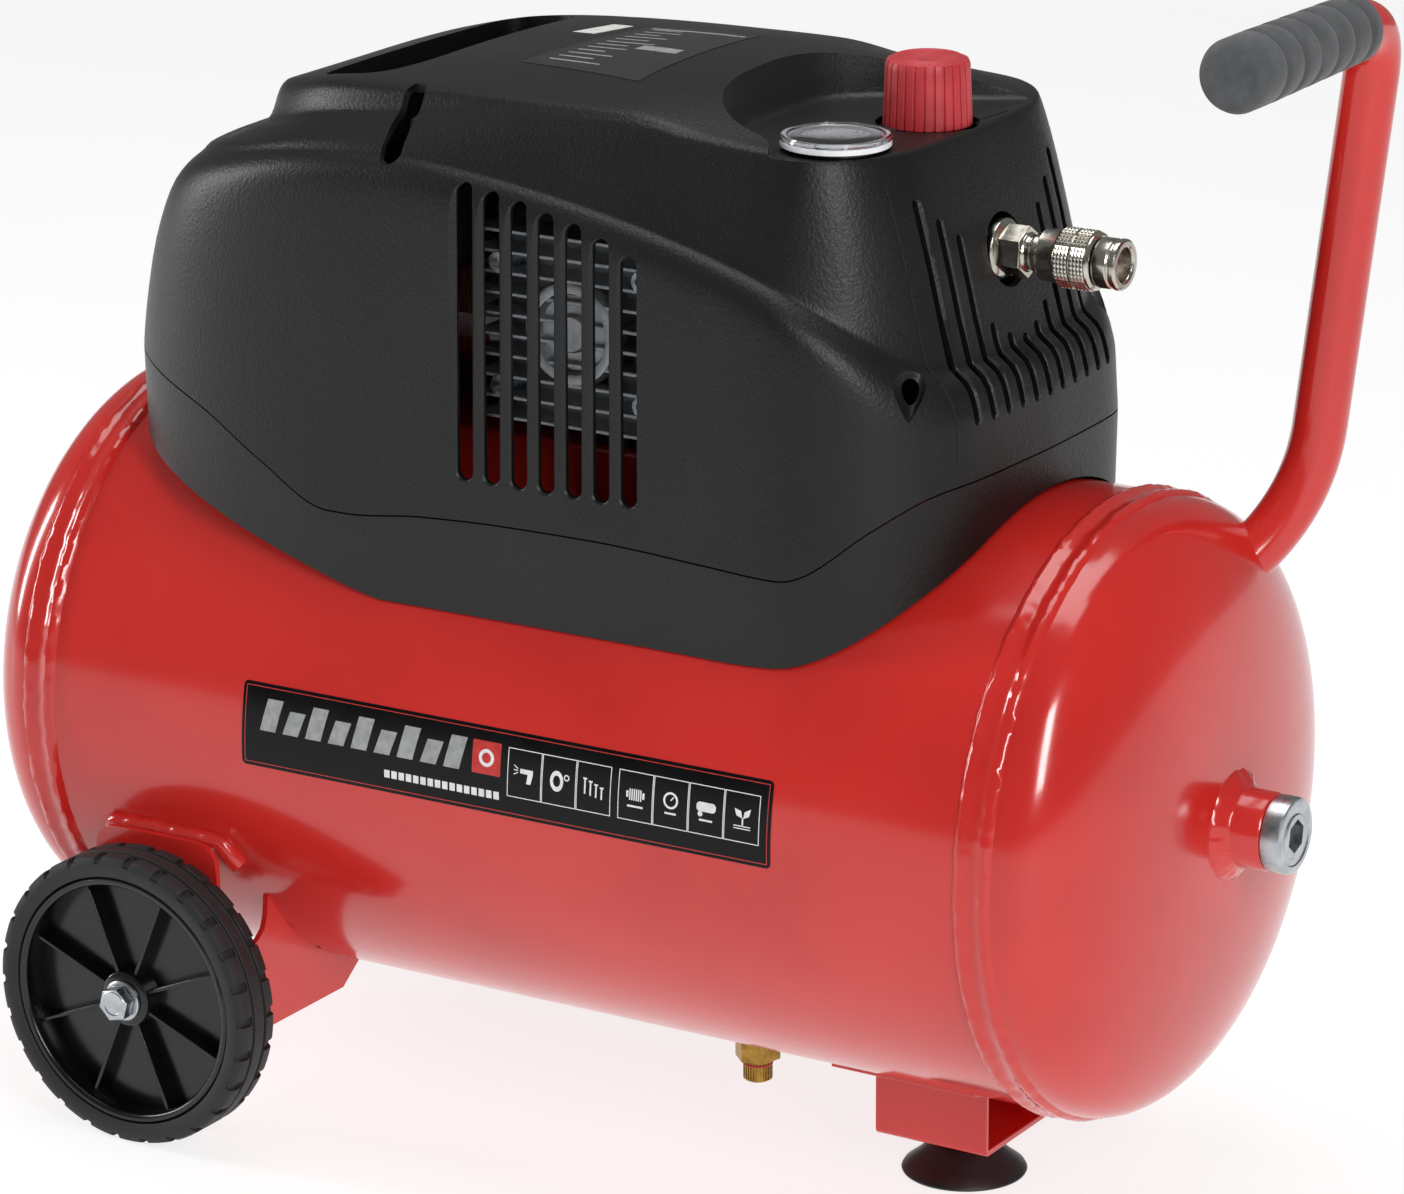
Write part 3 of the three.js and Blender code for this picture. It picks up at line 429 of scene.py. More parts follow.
def raised(tree, shader, height, depth_mm):
    """Adds a bump of this real depth to the shader."""
    bump = node(tree, "Bump", Height=height, Strength=1.0, Distance=depth_mm * MM)
    tree.links.new(bump.outputs["Normal"], shader.inputs["Normal"])


def clouds(tree, place, size_mm, detail=2.0, roughness=0.5):
    made = node(tree, "TexNoise", Vector=place, Scale=per_mm(size_mm), Detail=detail,
                Roughness=roughness)
    return made.outputs["Fac"]


def red_gloss_enamel():
    """Stoved gloss enamel on steel: deep red, soft orange peel, slight change of film depth."""
    material, tree, shader, place = started(
        "red_gloss_enamel", IOR=1.5, Specular_IOR_Level=0.5, Coat_Weight=0.35,
        Coat_Roughness=0.08)
    film = clouds(tree, place, 90, 3.0)
    dust = clouds(tree, place, 25, 4.0)
    toned(tree, shader, film, [(0.25, "#BE211C"), (0.5, "#CB2822"), (0.8, "#D32E27")],
          0.15, 0.22, dust)
    raised(tree, shader, clouds(tree, place, 9, 0.0), 0.02)
    return material


def grained_abs():
    """Black ABS from a spark-eroded mould: fine even pebble, dull sheen, a little dust."""
    material, tree, shader, place = started("grained_black_abs", IOR=1.5,
                                            Specular_IOR_Level=0.36)
    dust = clouds(tree, place, 60, 5.0, 0.6)
    pebble = node(tree, "TexVoronoi", {"feature": "SMOOTH_F1"}, Vector=place,
                  Scale=per_mm(1.4)).outputs["Distance"]
    grain = clouds(tree, place, 0.9, 3.0)
    both = node(tree, "Math", {"operation": "ADD"}, _0=pebble, _1=grain).outputs["Value"]
    toned(tree, shader, dust, [(0.3, "#0C0D0D"), (0.55, "#101111"), (0.8, "#161717")],
          0.36, 0.48, grain)
    raised(tree, shader, both, 0.11)
    return material


def gloss_polypropylene():
    """Black polypropylene from a polished mould: wet-looking, with faint flow marks."""
    material, tree, shader, place = started("gloss_black_polypropylene", IOR=1.49)
    flow = clouds(tree, place, 30, 3.0)
    toned(tree, shader, flow, [(0.3, "#070708"), (0.7, "#0D0E0F")], 0.16, 0.26)
    raised(tree, shader, clouds(tree, place, 5, 2.0), 0.02)
    return material


def tyre_rubber():
    """Moulded black rubber: matt, a little dusty grey on its rubbed edges."""
    material, tree, shader, place = started("moulded_tyre_rubber", IOR=1.52)
    wear = clouds(tree, place, 14, 5.0, 0.6)
    toned(tree, shader, wear, [(0.3, "#151617"), (0.6, "#1D1E20"), (0.85, "#2A2C2E")], 0.55, 0.75)
    raised(tree, shader, clouds(tree, place, 0.8, 3.0), 0.05)
    return material


def soft_black_rubber():
    """Black nitrile rubber: smoother than the tyre, with a soft shine."""
    material, tree, shader, place = started("soft_black_rubber", IOR=1.52)
    bloom = clouds(tree, place, 18, 4.0)
    toned(tree, shader, bloom, [(0.3, "#141516"), (0.8, "#242527")], 0.34, 0.5)
    raised(tree, shader, clouds(tree, place, 1.2, 2.0), 0.03)
    return material


def grip_foam():
    """Grey closed-cell vinyl foam: soft matt skin with fine cells and rubbed high spots."""
    material, tree, shader, place = started("grey_vinyl_foam", IOR=1.45, Sheen_Weight=0.15,
                                            Sheen_Roughness=0.5)
    rub = clouds(tree, place, 9, 5.0, 0.65)
    toned(tree, shader, rub, [(0.25, "#3B3D3F"), (0.55, "#4B4D4F"), (0.85, "#606264")], 0.62, 0.8)
    cells = node(tree, "TexVoronoi", Vector=place, Scale=per_mm(0.9)).outputs["Distance"]
    raised(tree, shader, cells, 0.08)
    return material


def zinc_plate():
    """Bright zinc plate over turned steel: cool silver with faint tool rings and haze."""
    material, tree, shader, place = started("bright_zinc_plate", Metallic=1.0)
    haze = clouds(tree, place, 6, 4.0)
    toned(tree, shader, haze, [(0.25, "#9EA3A8"), (0.55, "#BCC0C4"), (0.85, "#D2D4D3")], 0.2, 0.36)
    raised(tree, shader, clouds(tree, place, 1.5, 3.0), 0.03)
    return material


def turned_brass():
    """Turned brass bar: warm yellow, slightly browned, with fine tool lines."""
    material, tree, shader, place = started("turned_brass", Metallic=1.0)
    tarnish = clouds(tree, place, 4, 4.0)
    toned(tree, shader, tarnish, [(0.25, "#7E6128"), (0.55, "#AD8A42"), (0.85, "#CBA65C")], 0.22, 0.4)
    lines = node(tree, "TexWave", {"bands_direction": "Z"}, Vector=place,
                 Scale=per_mm(0.6) / WAVE_RATE, Distortion=0.4).outputs["Fac"]
    raised(tree, shader, lines, 0.01)
    return material


def nickel_plate():
    """Nickel-plated brass: warm mirror silver with small smears."""
    material, tree, shader, place = started("nickel_plate", Metallic=1.0)
    smear = clouds(tree, place, 5, 4.0)
    toned(tree, shader, smear, [(0.25, "#A9A598"), (0.55, "#C6C2B8"), (0.85, "#DAD7D0")], 0.12, 0.26)
    raised(tree, shader, clouds(tree, place, 1.5, 2.0), 0.015)
    return material


def cast_aluminium():
    """Pressure die-cast aluminium: dull silver grey with a coarse skin."""
    material, tree, shader, place = started("die_cast_aluminium", Metallic=1.0)
    skin = clouds(tree, place, 5, 6.0, 0.6)
    toned(tree, shader, skin, [(0.25, "#8C9094"), (0.55, "#ABAFB3"), (0.85, "#C4C7CA")], 0.34, 0.52)
    raised(tree, shader, clouds(tree, place, 0.9, 4.0), 0.06)
    return material


def ground_steel():
    """Ground steel: neutral grey with short grinding marks along X."""
    material, tree, shader, place = started("ground_steel", Metallic=1.0)
    turned_place = node(tree, "Mapping", _0=place, _3=(0.1, 1.0, 1.0)).outputs["Vector"]
    marks = clouds(tree, turned_place, 0.8, 4.0)
    toned(tree, shader, marks, [(0.25, "#6F7275"), (0.75, "#9C9FA2")], 0.28, 0.46)
    raised(tree, shader, marks, 0.015)
    return material


def lacquered_winding():
    """Enamelled copper wire under baking varnish: brown-red strands with a syrupy gloss."""
    material, tree, shader, place = started("varnished_copper_winding", IOR=1.55,
                                            Coat_Weight=0.5, Coat_Roughness=0.15)
    strands = node(tree, "TexWave", {"bands_direction": "X"}, Vector=place,
                   Scale=per_mm(0.8) / WAVE_RATE, Distortion=1.5, Detail=2.0).outputs["Fac"]
    toned(tree, shader, strands, [(0.2, "#4A1E10"), (0.8, "#8C4426")], 0.3, 0.45)
    raised(tree, shader, strands, 0.3)
    return material


def red_abs():
    """Red ABS from a satin mould: slightly chalky red with a soft edge shine."""
    material, tree, shader, place = started("satin_red_abs", IOR=1.5,
                                            Subsurface_Weight=0.08, Subsurface_Scale=0.002)
    tone = clouds(tree, place, 12, 4.0)
    toned(tree, shader, tone, [(0.25, "#B22A31"), (0.55, "#C2353C"), (0.85, "#CF474C")], 0.4, 0.55)
    raised(tree, shader, clouds(tree, place, 0.8, 3.0), 0.025)
    return material


def clear_styrene():
    """Clear polystyrene lens: water-bright, with the faintest ripple and hairline haze."""
    material, tree, shader, place = started("clear_polystyrene", IOR=1.45,
                                            Transmission_Weight=1.0)
    haze = clouds(tree, place, 8, 3.0)
    toned(tree, shader, haze, [(0.3, "#F2F4F8"), (0.7, "#FFFFFF")], 0.02, 0.06)
    raised(tree, shader, clouds(tree, place, 10, 1.0), 0.01)
    return material


INK_SPREAD = 0.05


def printed(name, codes, roughness, grain_mm=3.0, shine=0.5):
    """Ink or film that is nearly one colour, with the slight mottle of print."""
    material, tree, shader, place = started(name, IOR=1.5, Specular_IOR_Level=shine)
    mottle = clouds(tree, place, grain_mm, 4.0)
    toned(tree, shader, mottle, [(0.3, codes[0]), (0.7, codes[1])],
          roughness - INK_SPREAD, roughness + INK_SPREAD)
    raised(tree, shader, mottle, 0.01)
    return material


def label_film():
    """Glossy black polyester label."""
    return printed("black_label_film", ("#040405", "#08080A"), 0.2, 20.0, 0.2)


def label_white_ink():
    """White screen-printing ink."""
    return printed("white_screen_ink", ("#D9DBDB", "#EEF0EF"), 0.45)


def label_grey_ink():
    """Silver-grey screen-printing ink."""
    return printed("grey_screen_ink", ("#8A8C8D", "#A6A8A9"), 0.4)


def label_red_ink():
    """Red screen-printing ink."""
    return printed("red_screen_ink", ("#B3231F", "#CB302A"), 0.4)


def rating_film():
    """Dark grey metallised film with a satin face."""
    return printed("dark_rating_film", ("#1E2022", "#26282A"), 0.42, 12.0)


def sticker_paper():
    """Coated white paper, slightly warm."""
    return printed("coated_white_paper", ("#D8D8D4", "#E8E8E4"), 0.55, 6.0)


def dial_paint():
    """White lacquered dial plate."""
    return printed("white_dial_lacquer", ("#E4E5E8", "#F2F3F5"), 0.4, 6.0)


def needle_enamel():
    """Black enamel on a thin pressed pointer."""
    return printed("black_pointer_enamel", ("#0C0C0D", "#1B1B1C"), 0.35, 4.0)


RED = red_gloss_enamel()
COVER_ABS = grained_abs()
GLOSS_BLACK = gloss_polypropylene()
TYRE = tyre_rubber()
RUBBER = soft_black_rubber()
FOAM = grip_foam()
ZINC = zinc_plate()
BRASS = turned_brass()
NICKEL = nickel_plate()
ALUMINIUM = cast_aluminium()
STEEL = ground_steel()
WINDING = lacquered_winding()
RED_ABS = red_abs()
LENS = clear_styrene()
LABEL = label_film()
WHITE_INK = label_white_ink()
GREY_INK = label_grey_ink()
RED_INK = label_red_ink()
RATING = rating_film()
PAPER = sticker_paper()
DIAL = dial_paint()
NEEDLE = needle_enamel()


# ------------------------------------------------------------------ camera, floor and lights
CAMERA_AZIMUTH = 31.277
CAMERA_ELEVATION = 17.438
CAMERA_ROLL = -0.207
CAMERA_DISTANCE = 2.36195
CAMERA_TARGET = Vector((0.025175, 0, 0.21624))
CAMERA_LENS = 147.9
CAMERA_SENSOR = 36.0
CAMERA_SHIFT = (-0.02146, 0.02007)
CAMERA_NEAR, CAMERA_FAR = 0.05, 50


def make_camera():
    azimuth, elevation = math.radians(CAMERA_AZIMUTH), math.radians(CAMERA_ELEVATION)
    roll = math.radians(CAMERA_ROLL)
    back = Vector((math.sin(azimuth) * math.cos(elevation),
                   -math.cos(azimuth) * math.cos(elevation), math.sin(elevation)))
    right = Vector((math.cos(azimuth), math.sin(azimuth), 0))
    up = back.cross(right)
    turned_right = right * math.cos(roll) + up * math.sin(roll)
    turned_up = up * math.cos(roll) - right * math.sin(roll)
    data = bpy.data.cameras.new("camera")
    data.lens = CAMERA_LENS
    data.sensor_width = CAMERA_SENSOR
    data.shift_x, data.shift_y = CAMERA_SHIFT
    data.clip_start, data.clip_end = CAMERA_NEAR, CAMERA_FAR
    camera = bpy.data.objects.new("camera", data)
    place = CAMERA_TARGET + back * CAMERA_DISTANCE
    columns = zip(turned_right, turned_up, back, place)
    camera.matrix_world = Matrix((*columns, (0, 0, 0, 1)))
    bpy.context.scene.collection.objects.link(camera)
    bpy.context.scene.camera = camera


FLOOR_GLOW = 0.8
FLOOR_REACH = 6.0


def pale_floor():
    """Painted studio floor: near white, soft satin."""
    material, tree, shader, place = started("pale_studio_floor", IOR=1.45)
    colour = ramp(tree, clouds(tree, place, 400, 2.0), [(0.3, "#8D8D8D"), (0.7, "#929292")])
    tree.links.new(colour, shader.inputs["Base Color"])
    shader.inputs["Roughness"].default_value = 0.6
    shader.inputs["Emission Color"].default_value = srgb("#FFFFFF")
    shader.inputs["Emission Strength"].default_value = FLOOR_GLOW
    return material


def make_floor():
    bm = bmesh.new()
    bmesh.ops.create_grid(bm, x_segments=1, y_segments=1, size=FLOOR_REACH)
    object_of("floor", bm, pale_floor())


ROOM_LIGHT = 0.2


def make_world():
    world = bpy.data.worlds.new("studio")
    world.use_nodes = True
    tree = world.node_tree
    room = tree.nodes["Background"]
    room.inputs["Color"].default_value = srgb("#FFFFFF")
    room.inputs["Strength"].default_value = ROOM_LIGHT
    backdrop = node(tree, "Background", Color=srgb("#FFFFFF"), Strength=1.0)
    path = node(tree, "LightPath")
    mix = node(tree, "MixShader", _0=path.outputs["Is Camera Ray"],
               _1=room.outputs[0], _2=backdrop.outputs[0])
    tree.links.new(mix.outputs[0], tree.nodes["World Output"].inputs["Surface"])
    bpy.context.scene.world = world


# Name, place, target, size and power of each soft box, in metres and watts.
LIGHTS = [("key_right", (1.7, -1.3, 1.2), (0.1, 0, 0.25), (0.35, 1.1), 24),
          ("fill_left", (-2.3, -0.6, 0.9), (-0.1, 0, 0.25), (0.28, 1.3), 24),
          ("top", (0, 0.2, 2.2), (0, 0, 0.3), (1.6, 1.2), 22)]


def soft_light(name, place, target, size, power):
    data = bpy.data.lights.new(name, "AREA")
    data.shape = "RECTANGLE"
    data.size, data.size_y = size
    data.energy = power
    light = bpy.data.objects.new(name, data)
    light.location = place
    toward = Vector(target) - Vector(place)
    light.rotation_euler = toward.to_track_quat("-Z", "Y").to_euler()
    bpy.context.scene.collection.objects.link(light)


bpy.context.scene.view_settings.view_transform = "Standard"
make_camera()
make_floor()
make_world()
for light_args in LIGHTS:
    soft_light(*light_args)


# ------------------------------------------------------------------ tank
TURN_STEPS = 144
WALL = 2.0
DISH_POWER = 2.38
HEAD_SKIRT = 9.6
SEAM_GAP = 0.15


def dish(inset, steps=22):
    """Half profile of a dished head, from its skirt to its middle."""
    depth = HEAD_END - RIGHT_SEAM - HEAD_SKIRT
    points = []
    for i in range(steps + 1):
        angle = math.pi / 2 * i / steps
        radius = (TANK_R - inset) * math.cos(angle) ** (2 / DISH_POWER)
        along = HEAD_SKIRT + (depth - inset) * math.sin(angle) ** (2 / DISH_POWER)
        points.append((0.0 if i == steps else radius, along))
    return points


def build_barrel():
    left, right = LEFT_SEAM + SEAM_GAP, RIGHT_SEAM - SEAM_GAP
    profile = [(TANK_R, left), (TANK_R, right), (TANK_R - WALL, right), (TANK_R - WALL, left)]
    bm = turned(profile, "x", (0, 0, AXIS_Z), TURN_STEPS)
    painted("tank_barrel_painted", bm, "tank_barrel")


def painted(name, bm, *stands_for, **more):
    """A piece in the tank's enamel."""
    piece(name, bm, RED, slot="red_enamel", replaces=stands_for, **more)


def off_axis(point):
    """A point's distance from the tank's axis."""
    return math.hypot(point.y, point.z - AXIS_Z)


def tank_end(side):
    """The seam's place and the way its head faces."""
    return (RIGHT_SEAM, 1) if side == "right" else (LEFT_SEAM, -1)


def build_head(side):
    outer = [(TANK_R, SEAM_GAP)] + dish(0)
    inner = [(TANK_R - WALL, SEAM_GAP)] + dish(WALL)
    seam, facing = tank_end(side)
    profile = [(r, seam + facing * a) for r, a in outer + inner[::-1]]
    bm = turned(profile, "x", (0, 0, AXIS_Z), TURN_STEPS)
    painted(f"tank_head_{side}_painted", bm, f"tank_head_{side}")


def build_seam_weld(side):
    """The head's lapped edge and the bead that joins it, painted over."""
    seam, facing = tank_end(side)
    section = [(-4.0, -0.6), (-2.8, 1.0), (-1.4, 2.1), (0.0, 2.3), (1.6, 1.7), (3.4, 0.9),
               (5.6, 0.7), (7.6, 1.3), (9.2, 1.9), (10.8, 1.7), (12.6, 0.4), (13.6, -1.4),
               (6.0, -1.8)]
    profile = [(TANK_R + lift, seam + facing * along) for along, lift in section]
    bm = turned(profile, "x", (0, 0, AXIS_Z), 360)
    faced_out(bm)
    outside = [v for v in bm.verts if off_axis(v.co) > TANK_R + 0.2]
    lumpy(bm, 0.42, 5.0, outside)
    painted(f"seam_weld_{side}", bm)


def build_bung():
    end = span("bung_boss")[0][1]
    boss_r = half_of(span("bung_boss")[1])
    centre = (0, 0, AXIS_Z)
    bore = 10.3
    profile = [(bore, HEAD_END - 9), (boss_r + 5.5, HEAD_END - 6.5),
               (boss_r + 4.6, HEAD_END - 0.6), (boss_r + 2.8, HEAD_END + 1.4),
               (boss_r + 0.6, HEAD_END + 3.2), (boss_r - 1.6, HEAD_END + 4.4),
               (boss_r - 2.2, HEAD_END + 6), (boss_r - 2.2, end - 1), (boss_r - 3.0, end),
               (bore, end)]
    bm = turned(profile, "x", centre, 120)
    faced_out(bm)
    fillet = [v for v in bm.verts if v.co.x < HEAD_END + 4 and off_axis(v.co) > boss_r - 2]
    lumpy(bm, 0.9, 5.0, fillet)
    painted("bung_boss_welded", bm, "bung_boss", angle=50)

    plug = span("bung_plug")
    radius = half_of(plug[1])
    outer = plug[0][1]
    flange = end + 0.3
    profile = [(0, HEAD_END + 2), (10, HEAD_END + 2), (10, flange), (radius - 0.5, flange),
               (radius, flange + 0.5), (radius, outer - 1.4), (radius - 0.4, outer - 0.5),
               (radius - 1.4, outer), (radius - 3.2, outer), (radius - 3.8, outer - 0.5),
               (9.2, outer - 0.6), (8.6, outer), (0, outer)]
    made = piece("bung_plug_turned", turned(profile, "x", centre, 96), ZINC,
                 slot="zinc_steel", replaces=["bung_plug"])
    socket = extruded(circle_points((outer - 6, 0, AXIS_Z), 6.9, "x", 6, 0.35), (8, 0, 0))
    tidy_mesh(socket)
    resized(socket)
    taken_from(made, object_of("socket", socket))
    finish_edges(made)


build_barrel()
for end_name in ("left", "right"):
    build_head(end_name)
    build_seam_weld(end_name)
build_bung()


# ------------------------------------------------------------------ drain valve and foot
def build_drain():
    boss = span("drain_boss")
    body = span("drain_body")
    knob = span("drain_knob")
    x = middle(body[0])
    centre = (x, 0, 0)
    boss_low = boss[2][0]
    hex_height = 9.2
    hex_top = boss_low - 0.3
    hex_low = hex_top - hex_height
    profile = [(5, boss_low), (8.6, boss_low), (9.5, boss_low + 1), (9.9, TANK_TOP - 250),
               (11.5, TANK_TOP - 247.5), (5, TANK_TOP - 247)]
    bm = turned(profile, "z", centre, 64)
    painted("drain_boss_welded", bm, "drain_boss", angle=50)

    bm = extruded(circle_points((x, 0, hex_low), 9.8, "z", 6, 0.3), (0, 0, hex_height))
    add_turned(bm, [(0, hex_low - 9), (3, hex_low - 9), (3, hex_low - 3.4), (5.4, hex_low - 3.2),
                    (5.4, hex_low - 1.2), (6.6, hex_low - 0.8), (6.6, hex_low + 0.3),
                    (0, hex_low + 0.3)], "z", centre, 48)
    add_turned(bm, [(0, hex_top - 0.3), (4.6, hex_top - 0.3), (4.6, hex_top + 7),
                    (0, hex_top + 7)], "z", centre, 32)
    piece("drain_body_turned", bm, BRASS, slot="brass", replaces=["drain_body"], bevel=0.4)

    seal_profile = [(7.0, -0.8), (8.2, -0.5), (8.5, 0), (8.2, 0.5), (7.0, 0.8)]
    for i, z in enumerate((hex_low + 8.6, hex_low - 2.2)):
        seal = turned([(r - 2 * i, z + up) for r, up in seal_profile], "z", centre, 48)
        piece(f"drain_seal_{i + 1}", seal, RED_ABS, slot="red_plastic")

    radius = half_of(knob[0])
    low, high = knob[2]
    profile = [(3.3, low), (radius - 1.2, low), (radius - 0.5, low + 0.7),
               (radius - 0.5, high - 1.9), (radius - 0.5, high - 0.6), (radius - 1.1, high),
               (3.3, high)]
    bm = turned(profile, "z", centre, 60)
    faced_out(bm)
    knurl(bm, centre, "z", radius - 0.6, 0.5)
    piece("drain_knob_knurled", bm, BRASS, "drain_knob", "brass", ["drain_knob"], angle=20)


def knurl(bm, centre, axis, least, depth, every=2):
    """Raises every so many faces of a turned band as straight teeth."""
    index = "xyz".index(axis)
    faces = []
    bm.faces.ensure_lookup_table()
    for f in bm.faces:
        mid = f.calc_center_median()
        out = mid - Vector(centre)
        out[index] = 0
        if out.length < least or abs(f.normal[index]) > 0.3 or f.normal.dot(out) < 0:
            continue
        a, b = [out[k] for k in range(3) if k != index]
        turn = math.atan2(b, a) % FULL_TURN
        faces.append((turn, f))
    steps = len(set(round(t, 3) for t, _ in faces))
    teeth = [f for t, f in faces if int(round(t / FULL_TURN * steps - 0.25)) % every == 0]
    made = bmesh.ops.extrude_face_region(bm, geom=teeth)
    bmesh.ops.delete(bm, geom=teeth, context="FACES")
    for v in points_in(made):
        out = v.co - Vector(centre)
        out[index] = 0
        v.co += out.normalized() * depth


FOOT_WELD_Y = 29.5


def build_foot():
    pad = span("foot_pad")
    x = middle(pad[0])
    radius = half_of(pad[0])
    profile = [(0, 1.8), (radius - 8, 1.2), (radius - 2.2, 0.0), (radius - 0.4, 0.2),
               (radius, 1.0), (radius - 0.8, 2.4), (radius - 4.5, 5.2), (radius - 8.5, 8.8),
               (radius - 11.5, 12.2), (13.2, 13.4), (10.6, 13.8), (9.2, 15.2), (9.0, 19.4),
               (3.3, 19.7), (3.3, 7), (0, 7)]
    piece("foot_pad_moulded", turned(profile, "z", (x, 0, 0), 96), RUBBER,
          slot="black_rubber", replaces=["foot_pad"], angle=40)
    refined("foot_bracket", RED, 0.5, "red_enamel")
    refined("foot_screw", ZINC, 0.3, "zinc_steel")
    bracket = span("foot_bracket")
    for side in (-1, 1):
        y = side * FOOT_WELD_Y
        z = AXIS_Z - math.sqrt(TANK_R ** 2 - y * y) - 1.0
        path = []
        for i in range(30):
            along = bracket[0][0] + 3 + (bracket[0][1] - bracket[0][0] - 6) * i / 29
            path.append(Vector((along, y, z)))
        bead = swept(path, 1.9, 12)
        lumpy(bead, 0.4, 3.0)
        painted(f"foot_weld_{'front' if side < 0 else 'rear'}", bead)


build_drain()
build_foot()


# ------------------------------------------------------------------ wheels
TYRE_WIDTH = 24
LUGS = 26
SLICES_PER_LUG = 4
NOTCH_DEPTH = 1.7
SPOKES = 8


def outer_end(pair, side):
    """The end of a y span that faces away from the tank."""
    return pair[0] if side == "front" else pair[1]


def wheel_frame(side):
    tyre = span(f"wheel_tyre_{side}")
    facing = -1 if side == "front" else 1
    centre = (middle(tyre[0]), 0, middle(tyre[2]))
    return centre, facing, outer_end(tyre[1], side), half_of(tyre[2])


def inward(profile, facing, outer):
    """Profile points given as (radius, depth in from the wheel's outer face)."""
    return [(r, outer - facing * depth) for r, depth in profile]


def build_tyre(side):
    centre, facing, outer, radius = wheel_frame(side)
    half = [(53.6, 1.2), (55.4, 0.4), (58.2, 0.0), (59.8, 0.2), (61.9, 1.4), (radius, 3.4),
            (radius, 7.2), (radius - 1.3, 7.5), (radius - 1.3, 8.7), (radius, 9.0), (radius, 12.0)]
    other = [(r, TYRE_WIDTH - depth) for r, depth in half[:-1]][::-1]
    slices = LUGS * SLICES_PER_LUG
    bm = turned(inward(half + other, facing, outer), "y", centre, slices)
    faced_out(bm)
    notches = []
    for f in bm.faces:
        mid = f.calc_center_median()
        out = math.hypot(mid.x - centre[0], mid.z - centre[2])
        depth = abs(mid.y - outer)
        edge_band = min(depth, TYRE_WIDTH - depth)
        turn = math.atan2(mid.z - centre[2], mid.x - centre[0]) % FULL_TURN
        slice_number = int(turn / FULL_TURN * LUGS * SLICES_PER_LUG)
        if out > 59.0 and 0.2 < edge_band < 7.3 and slice_number % SLICES_PER_LUG == 0:
            notches.append(f)
    made = bmesh.ops.extrude_face_region(bm, geom=notches)
    bmesh.ops.delete(bm, geom=notches, context="FACES")
    for v in points_in(made):
        out = Vector((v.co.x - centre[0], 0, v.co.z - centre[2])).normalized()
        v.co -= out * NOTCH_DEPTH
    piece(f"wheel_tyre_{side}_moulded", bm, TYRE, f"wheel_{side}", "tyre",
          [f"wheel_tyre_{side}"], bevel=0.25, segments=1, angle=35)


def build_rim(side):
    centre, facing, outer, _ = wheel_frame(side)
    profile = [(4.3, 3.2), (10.4, 3.2), (11.6, 4.0), (12.6, 11.2), (49.2, 12.0), (49.6, 2.6),
               (50.2, 1.6), (51.0, 1.1), (52.4, 1.1), (53.2, 1.9), (53.2, 22.6), (52.0, 23.0),
               (49.8, 23.0), (49.4, 15.2), (12.4, 15.0), (11.4, 28.6), (4.3, 28.6)]
    bm = turned(inward(profile, facing, outer), "y", centre, 128)
    piece(f"wheel_rim_{side}_moulded", bm, GLOSS_BLACK, f"wheel_{side}", "gloss_black",
          [f"wheel_rim_{side}"], angle=35)
    ribs = bmesh.new()
    step = 360 / SPOKES
    for i in range(SPOKES):
        low, high = sorted((outer - facing * 5.2, outer - facing * 12.4))
        verts = add_box(ribs, (10.5, 50.2), (low, high), (-0.85, 0.85))
        turn = Matrix.Rotation(math.radians(step / 2 + step * i), 3, "Y")
        bmesh.ops.rotate(ribs, cent=(0, 0, 0), matrix=turn, verts=verts)
        bmesh.ops.translate(ribs, vec=Vector(centre), verts=verts)
    piece(f"wheel_ribs_{side}", ribs, GLOSS_BLACK, f"wheel_{side}", "gloss_black", bevel=0.35)


def build_wheel_bolt(side):
    centre, facing, _, _ = wheel_frame(side)
    washer = span(f"wheel_washer_{side}")
    face = outer_end(washer[1], side)
    bolt = span(f"wheel_bolt_{side}")
    tip = outer_end(bolt[1], side)
    seat = face + facing * 0.3
    start = (centre[0], seat, centre[2])
    bm = extruded(circle_points(start, 7.4, "y", 6, 0.25), (0, tip - facing * 0.3 - seat, 0))
    inner_end = sum(bolt[1]) - tip
    add_turned(bm, [(0, seat - facing), (3.9, seat - facing), (3.9, inner_end), (0, inner_end)],
               "y", centre, 32)
    add_turned(bm, [(0, tip - facing * 1.2), (6.4, tip - facing * 1.2), (6.0, tip),
                    (4.2, tip), (3.8, tip - facing * 0.5), (0, tip - facing * 0.5)], "y", centre, 32)
    piece(f"wheel_bolt_{side}_plated", bm, ZINC, slot="zinc_steel",
          replaces=[f"wheel_bolt_{side}"], bevel=0.35)
    back = face - facing * 2 * half_of(washer[1])
    profile = [(4.4, face), (8.1, face), (8.6, face - facing * 0.4), (8.6, back), (4.4, back)]
    piece(f"wheel_washer_{side}_plated", turned(profile, "y", centre, 64), ZINC,
          slot="zinc_steel", replaces=[f"wheel_washer_{side}"])


def build_wheel_bracket(side):
    refined(f"wheel_bracket_{side}", RED, 0.6, "red_enamel")
    facing = -1 if side == "front" else 1
    bracket = span(f"wheel_bracket_{side}")
    centre = middle(bracket[0])
    top = bracket[2][1]
    path = []
    for i in range(40):
        t = i / 39 * 2 - 1
        x = centre + 33 * t
        z = top - 1 - 10 * max(0.0, abs(t) - 0.8) / 0.2
        y = facing * (math.sqrt(max(1.0, TANK_R ** 2 - (z - AXIS_Z) ** 2)) + 1.2)
        path.append(Vector((x, y, z)))
    bead = swept(path, 4.2, 16)
    lumpy(bead, 0.9, 6.0)
    painted(f"wheel_bracket_weld_{side}", bead, angle=60)


for wheel_side in ("front", "rear"):
    build_tyre(wheel_side)
    build_rim(wheel_side)
    build_wheel_bolt(wheel_side)
    build_wheel_bracket(wheel_side)


